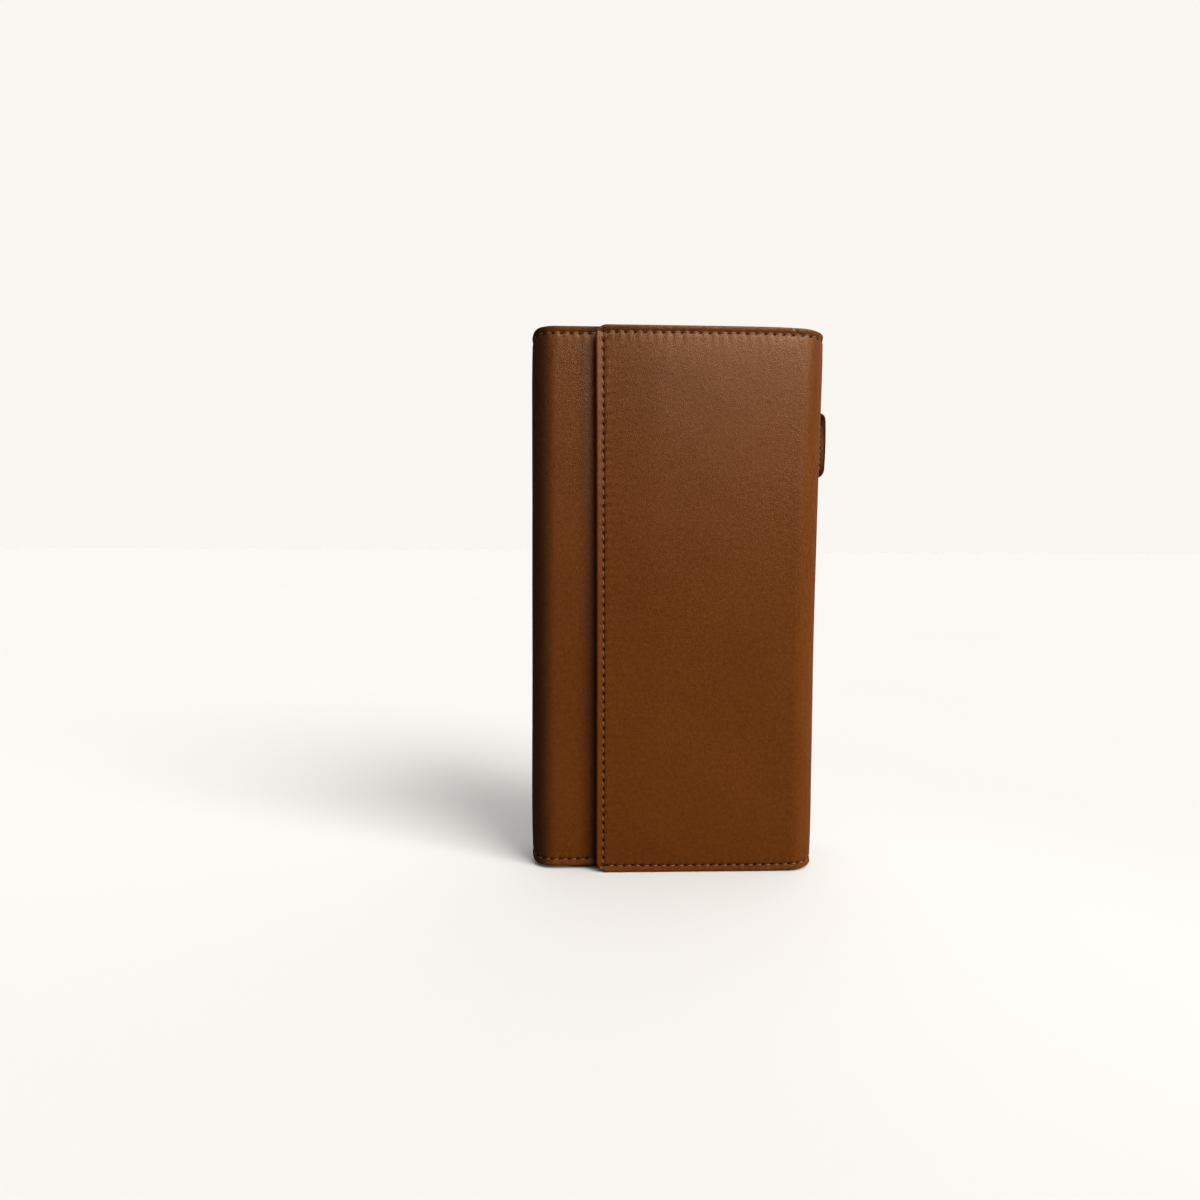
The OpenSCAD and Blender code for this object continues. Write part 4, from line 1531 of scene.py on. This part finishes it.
        bm = bmesh.new()
        corners = ((y1, z1, 0), (y0, z1, 90), (y0, z0, 180), (y1, z0, 270))
        swept(bm, [along(y, z, first + 15 * k) for y, z, first in corners for k in range(7)], 12, True)
        dress(cast(bm, "puller_ring_wire", self.finishes.brass), "zip_metal", "puller", "puller_ring")


@dataclass
class PullTab(Assembly):
    """Leather tab of the puller, folded round the ring and turned about its own length."""

    wide: float = 7.8
    wall: float = 1.2
    twist: float = 46.0
    neck: float = 3.4
    corner: float = 3.0
    curl: float = 0.075
    bow: float = 0.25
    seam_in: float = 2.0
    loop_r: float = 0.58
    loop_wall: float = 0.55
    wire: float = 0.45

    def build(self) -> None:
        """Makes the tab with its loop, edge paint and stitches."""
        box, ring = Box.of("puller_tab"), Box.of("puller_ring")
        x, y = (ring.x0 + ring.x1) / 2, (ring.y0 + ring.y1) / 2
        bar_z = ring.z0 + self.wire
        top = bar_z - 1.1
        long = top - box.z0

        def tab(run: float, z: float, depth: float) -> Vector:
            """Place on the tab: run across it, z up from its lower end."""
            up = z / long
            turn = math.radians(self.twist) * min(1.0, max(0.0, (1.0 - up) / 0.13)) ** 0.8
            slim = 1.0 - (1.0 - self.neck / self.wide) * eased((up - 0.92) / 0.08)
            across = (run - self.wide / 2) * slim
            swell = math.sin(math.pi * min(1.0, up))
            out = depth - self.wall / 2 - self.curl * max(0.0, -across) ** 2 * swell + self.bow * swell
            return Vector((x - across * math.sin(turn) - out * math.cos(turn),
                           y + across * math.cos(turn) - out * math.sin(turn), box.z0 + z))

        a, c = self.seam_in, self.wide - self.seam_in
        rows = (StitchRow((a, 2.4), (a, long - 5.0), False, 2.2),
                StitchRow((a + 0.8, 1.8), (c - 0.8, 1.8), True, 2.2),
                StitchRow((c, 2.4), (c, long - 5.0), True, 2.2))
        relief = Relief(rows, wave=0.05, pucker=0.03, groove=0.08)
        free = frozenset((Side.START, Side.END, Side.LOW))
        sheet = Sheet("puller_tab_leather", tab, lines(self.wide, 0.3, 0.5), lines(long, 0.5, 0.5), self.wall,
                      free, self.corner, 0.4, 0.3, relief, relief)
        parts = [sheet.build(self.finishes.raw, self.finishes.flesh_with_painted_light), self._loop(x, y, bar_z, top)]
        dress(joined(parts, "puller_tab_leather"), "outer_leather", "puller", "puller_tab")
        small = Stitching(thread_l=1.7, thread_w=0.4, slit_l=0.5, slit_w=0.2, slit_in=0.0)
        threads = [small.sew("puller_tab_thread", rows, tab, self.finishes, depth=depth)
                   for depth in (0.0, self.wall)]
        dress(joined(threads, "puller_tab_thread"), "outer_leather", "puller")

    def _loop(self, x: float, y: float, bar_z: float, top: float) -> Thing:
        """Makes the strap of the tab round the ring's lower bar.

        Args:
            x: Middle of the bar along X.
            y: Middle of the bar along Y.
            bar_z: Height of the bar.
            top: Upper end of the tab.

        Returns:
            The strap.
        """
        outer = self.loop_r + self.loop_wall
        drop = bar_z - top + 0.3
        profile = Profile(-outer, -drop, 90.0, ((drop, 0.0), (math.pi * outer, -180.0), (drop, 0.0)), True)

        def strap(run: float, z: float, depth: float) -> Vector:
            """Place on the strap: run round the bar and z along it."""
            p = profile.place(run, 0, depth)
            return Vector((x + p.x, y - self.neck / 2 + z, bar_z + p.y))

        sheet = Sheet("puller_tab_loop", strap, lines(profile.length, 0.25), lines(self.neck, 0.4, 0.2),
                      self.loop_wall, SHORT_ENDS, flat=True)
        return sheet.build(self.finishes.raw)


@dataclass
class Snap(Assembly):
    """Snap fastener: a stud on the flap and a socket on the front."""

    bore: float = 2.62

    def build(self) -> None:
        """Turns both halves about the snap's axis, from outlines of radius and level."""
        stud, socket = Box.of("snap_stud"), Box.of("snap_socket")
        r, tall, bore, deep = stud.wide / 2, stud.deep, self.bore, socket.deep
        self._turned("snap_stud", stud, "flap", (
            (0.0, 0.0), (r - 0.25, 0.0), (r, 0.12), (r, 0.3), (r - 0.3, 0.45), (4.6, 0.40), (3.4, 0.42),
            (2.1, 0.5), (1.75, 0.8), (1.85, 1.15), (2.1, 1.35), (1.9, tall - 0.08), (1.4, tall), (0.0, tall)))
        self._turned("snap_socket", socket, "front", (
            (bore, 0.0), (bore + 0.35, 0.0), (3.6, 0.06), (4.8, 0.1), (r - 0.5, 0.0), (r - 0.1, 0.08),
            (r, 0.22), (r, 0.35), (3.55, 0.35), (3.55, deep), (bore, deep), (bore, 0.0)))

    def _turned(self, node: str, box: Box, body: str, outline: tuple[Pair, ...]) -> None:
        """Spins an outline about the snap's axis and dresses it.

        Args:
            node: Node that it stands for.
            box: Box of that node.
            body: Body that it rides on.
            outline: Radius and level of each point.
        """
        bm = bmesh.new()
        x, z = (box.x0 + box.x1) / 2, (box.z0 + box.z1) / 2
        verts = [bm.verts.new((x + radius, box.y0 + level, z)) for radius, level in outline]
        edges = [bm.edges.new(pair) for pair in zip(verts, verts[1:])]
        bmesh.ops.spin(bm, geom=verts + edges, cent=(x, box.y0, z), axis=(0, 1, 0), angle=math.tau, steps=48,
                       use_merge=True, use_duplicate=False)
        bmesh.ops.remove_doubles(bm, verts=bm.verts[:], dist=1e-3)
        dress(cast(bm, f"{node}_brass", self.finishes.snap, 50.0), "snap_metal", body, node)


# ---------------------------------------------------------------- studio


@dataclass
class Studio:
    """Pale floor and soft light, with the camera low in front of the standing wallet."""

    eye: Colour = (-37.22, -266.57, 114.36)
    tilt: float = -3.97
    yaw: float = -1.76
    roll: float = 0.34
    focus: float = 734.5
    frame_side: float = 1200.0
    sensor: float = 36.0
    pale: Colour = (0.956, 0.930, 0.888)
    lamp: Colour = (1.0, 0.985, 0.955)
    sky: Colour = (1.0, 0.985, 0.96)
    gloom: float = 0.03
    # Direction, strength and power of each glow of the surroundings
    glows: tuple[tuple[Colour, float, float], ...] = (
        ((0.30, -0.05, 0.95), 1.75, 2.0),
        ((-0.15, 0.98, 0.12), 0.35, 1.0),
    )

    def build(self) -> None:
        """Makes the floor, the lights, the surroundings and the camera."""
        bm = bmesh.new()
        bmesh.ops.create_grid(bm, x_segments=2, y_segments=2, size=40.0)
        finished(bm, "studio_floor", PaperFinish("studio_paper").make())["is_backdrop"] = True
        self._lights()
        self._surroundings()
        self._camera()

    def _lights(self) -> None:
        """A broad key, a side light that fades across the flap, and a softbox for the sheen."""
        key = self._light("key", "SUN", 3.4, (0.0, 0.0, 0.0), (0.0, 0.0, 0.0))
        key.data.angle = math.radians(38)
        key.rotation_euler = (math.radians(48), 0.0, math.radians(46))
        side = self._light("side_spot", "SPOT", 7.0, (0.42, -0.26, 0.10), (0.0, 0.0, 0.115))
        side.data.spot_size = math.radians(40)
        side.data.spot_blend = 0.5
        side.data.shadow_soft_size = 0.06
        side.visible_glossy = False
        sheen = self._light("top_softbox", "AREA", 14.0, (0.29, -0.61, 0.60), (0.0, 0.0, 0.17))
        sheen.data.shape = "RECTANGLE"
        sheen.data.size, sheen.data.size_y = 0.5, 0.3
        sheen.visible_diffuse = False

    def _light(self, name: str, kind: str, power: float, place: Colour, aim: Colour) -> Thing:
        """Adds a light that looks from its place at a point.

        Args:
            name: Name of the light.
            kind: Blender's kind of light.
            power: Its strength.
            place: Where it stands, in metres.
            aim: The point that it looks at.

        Returns:
            The light's object.
        """
        light = bpy.data.lights.new(name, kind)
        light.energy = power
        light.color = self.lamp
        made = bpy.data.objects.new(name, light)
        made.location = place
        made.rotation_euler = (Vector(aim) - Vector(place)).to_track_quat("-Z", "Y").to_euler()
        bpy.context.scene.collection.objects.link(made)
        return made

    def _surroundings(self) -> None:
        """Pale surroundings that light the wallet from overhead and from behind."""
        world = bpy.data.worlds.new("studio")
        world.use_nodes = True
        bpy.context.scene.world = world
        net = Net(world.node_tree)
        sky = net.tree.nodes["Background"]
        where = net.node("TexCoord").outputs["Generated"]
        glow: object = self.gloom
        for way, strength, power in self.glows:
            facing = net.node("VectorMath", where, Vector(way).normalized(), operation="DOT_PRODUCT")
            lobe = net.maths("POWER", net.maths("MAXIMUM", facing.outputs["Value"], 0.0), power)
            glow = net.plus(net.times(lobe, strength), glow)
        net.feed(sky.inputs["Strength"], glow)
        net.feed(sky.inputs["Color"], self.sky)
        net.shown_apart(sky, net.node("Background", self.pale), "World Output")

    def _camera(self) -> None:
        """Camera in front of the wallet, a little to the left of its middle."""
        camera = bpy.data.cameras.new("camera")
        camera.sensor_width = self.sensor
        camera.lens = self.sensor * self.focus / self.frame_side
        camera.clip_start = 0.01
        camera.clip_end = 200.0
        made = bpy.data.objects.new("camera", camera)
        scene = bpy.context.scene
        scene.collection.objects.link(made)
        turn = (Matrix.Rotation(math.radians(self.yaw), 4, "Z")
                @ Matrix.Rotation(math.radians(90 + self.tilt), 4, "X")
                @ Matrix.Rotation(math.radians(self.roll), 4, "Z"))
        made.matrix_world = Matrix.Translation(Vector(self.eye) * MM) @ turn
        scene.camera = made
        scene.view_settings.view_transform = "Standard"


# ---------------------------------------------------------------- assembly


def main() -> None:
    """Builds every sub-assembly in order."""
    logging.basicConfig(level=logging.INFO, format="%(name)s %(message)s", stream=sys.stdout)
    finishes = Finishes()
    for assembly in (Hide, Linings, CardPockets, Divider, CoinPocket, Zip, PullTab, Snap):
        assembly(finishes).build()
    Studio().build()
    bpy.context.view_layer.update()
    boxes = {"cad": CAD_BOX, "visual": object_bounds()}
    {key: [list(low), list(high)] for key, (low, high) in boxes.items()}


if __name__ == "__main__":
    main()
